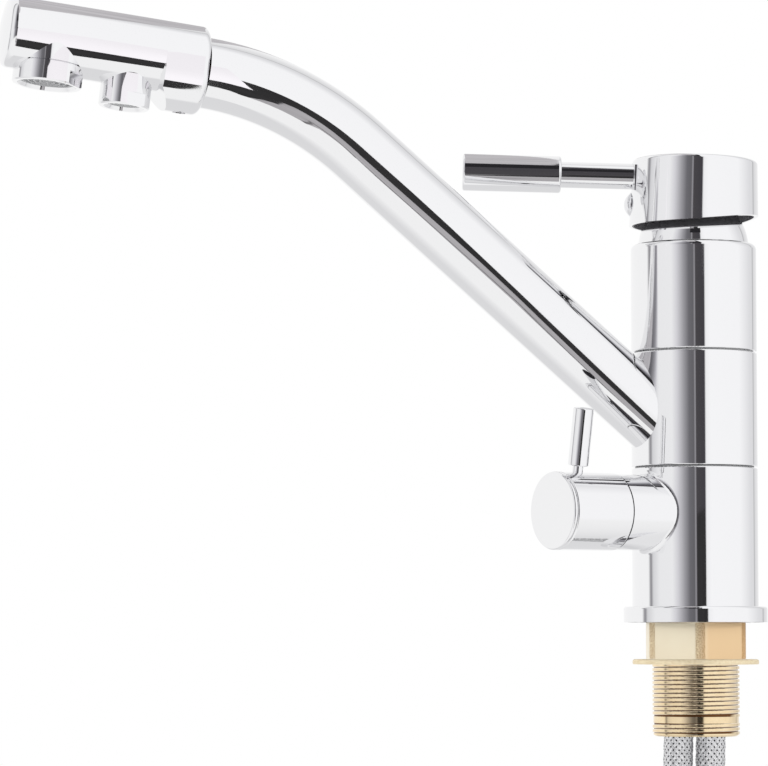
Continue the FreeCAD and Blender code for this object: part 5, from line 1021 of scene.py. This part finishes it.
class TAP_OT_hose_nuts(bpy.types.Operator):
    """Swivel nuts at the hoses' lower ends, with a turned collar and a threaded mouth"""

    bl_idname = "tap.hose_nuts"
    bl_label = "Hose nuts"

    def execute(self, context):
        flats = in_mm(context.scene.tap_sizes.end_nut_flats)
        corner = flats / math.sqrt(3.0) + 0.1
        face = flats / 2
        for side, stem_angle, lean_side, tuck in HOSES:
            route = route_points(stem_angle, lean_side, tuck)
            down = (route[-1] - route[-2]).normalized()
            envelope = turned_solid(side + "_nut_envelope", (
                (STEM_BORE, -0.01), (face, -0.01), (corner, 1.2), (corner, 9.6), (face - 0.2, 11.2),
                (face - 0.2, HOSE_NUT_HEIGHT), (NUT_MOUTH, HOSE_NUT_HEIGHT),
                (NUT_THREAD, HOSE_NUT_HEIGHT - 0.4), (NUT_THREAD, NUT_THREAD_START),
                (FLANGE_BORE, NUT_THREAD_START), (FLANGE_BORE, FLANGE_SEAT), (STEM_BORE, FLANGE_SEAT)))
            nut = hexagon_nut(side + "_hose_nut", flats, HOSE_NUT_HEIGHT, 0.0, envelope)
            stand_at(nut, route[-1] + down * HOSE_NUT_DROP * MM, down)
            finished(nut, side + "_nut", "bare_brass", turned_brass, side + "_tail_nut")
        return {"FINISHED"}


class TAP_OT_outlet_inserts(bpy.types.Operator):
    """Outlet inserts: a rim, rings and ribs, one in each collar"""

    bl_idname = "tap.outlet_inserts"
    bl_label = "Outlet inserts"

    def execute(self, context):
        for node, mouth, radius, depth, rings in OUTLETS:
            insert = self.ringed_disc(node.replace("_insert", "_nozzle"), radius, depth, rings)
            select_only(insert, *[self.rib(radius, index) for index in range(RIB_COUNT)])
            bpy.ops.object.join()
            apply_modifier(insert, "BEVEL", width=0.06 * MM, segments=1, limit_method="ANGLE",
                           angle_limit=math.radians(40.0))
            smooth_by_angle(insert, 35.0)
            stand_at(insert, mouth * MM, OUTLET_AXIS)
            finished(insert, "spout", "moulded_plastic", moulded_acetal, node)
        return {"FINISHED"}

    def ringed_disc(self, name, radius, depth, rings):
        """The insert's body, built facing +Z with the collar's mouth at the origin."""
        floor = INSERT_FACE - INSERT_RELIEF
        outline = [(0.0, INSERT_FACE - depth), (radius, INSERT_FACE - depth), (radius, INSERT_FACE),
                   (radius - INSERT_RIM, INSERT_FACE)]
        for ring in rings:
            outline += [(ring + 0.35, floor), (ring + 0.3, INSERT_FACE + 0.15),
                        (ring - 0.3, INSERT_FACE + 0.15), (ring - 0.35, floor)]
        outline += [(0.9, floor), (0.8, INSERT_FACE + 0.25), (0.0, INSERT_FACE + 0.3)]
        return turned_solid(name, outline, steps=64)

    def rib(self, radius, index):
        """A straight rib from the middle to the rim."""
        deselect_all()
        bpy.ops.mesh.primitive_cube_add(size=MM)
        rib = bpy.context.object
        outer = radius - 1.3
        middle = (RIB_START + outer) / 2
        rib.data.transform(
            Matrix.Rotation(2 * math.pi * index / RIB_COUNT, 4, "Z")
            @ Matrix.Translation(Vector((middle, 0.0, INSERT_FACE - INSERT_RELIEF / 2)) * MM)
            @ Matrix.Diagonal((outer - RIB_START, RIB_WIDTH, INSERT_RELIEF, 1.0)))
        return rib


class TAP_OT_finishes(bpy.types.Operator):
    """Gives every CAD node that stays the finish of its material slot"""

    bl_idname = "tap.finishes"
    bl_label = "Finishes"

    def execute(self, context):
        slots = {entry["node"]: entry["material_slot"] for entry in frame["record"]["subparts"]}
        for name, node in NODES.items():
            material = finish_named(NODE_FINISHES.get(name, FINISHES[slots[name]]))
            for slot in node.material_slots:
                slot.material = material
        return {"FINISHED"}


class TAP_PT_panel(bpy.types.Panel):
    """The tap's pieces, sizes and colours in the sidebar"""

    bl_idname = "TAP_PT_panel"
    bl_label = "Mixer tap"
    bl_space_type = "VIEW_3D"
    bl_region_type = "UI"
    bl_category = "Mixer Tap"

    def draw(self, context):
        for operator in OPERATORS:
            self.layout.operator(operator.bl_idname)
        for group in (context.scene.tap_sizes, context.scene.tap_colours):
            box = self.layout.box()
            for name in group.bl_rna.properties.keys():
                if name not in ("rna_type", "name"):
                    box.prop(group, name)


OPERATORS = (TAP_OT_studio, TAP_OT_hoses, TAP_OT_shank, TAP_OT_lock_nut, TAP_OT_clamp_washer,
             TAP_OT_hose_nuts, TAP_OT_outlet_inserts, TAP_OT_finishes)
CLASSES = (TapSizes, TapColours, *OPERATORS, TAP_PT_panel)


def register():
    for cls in CLASSES:
        bpy.utils.register_class(cls)
    bpy.types.Scene.tap_sizes = PointerProperty(type=TapSizes)
    bpy.types.Scene.tap_colours = PointerProperty(type=TapColours)


def unregister():
    del bpy.types.Scene.tap_colours
    del bpy.types.Scene.tap_sizes
    for cls in reversed(CLASSES):
        bpy.utils.unregister_class(cls)


def main():
    register()
    bpy.ops.tap.studio()
    bpy.ops.tap.hoses()
    bpy.ops.tap.shank()
    bpy.ops.tap.lock_nut()
    bpy.ops.tap.clamp_washer()
    bpy.ops.tap.hose_nuts()
    bpy.ops.tap.outlet_inserts()
    bpy.ops.tap.finishes()


if __name__ == "__main__":
    main()
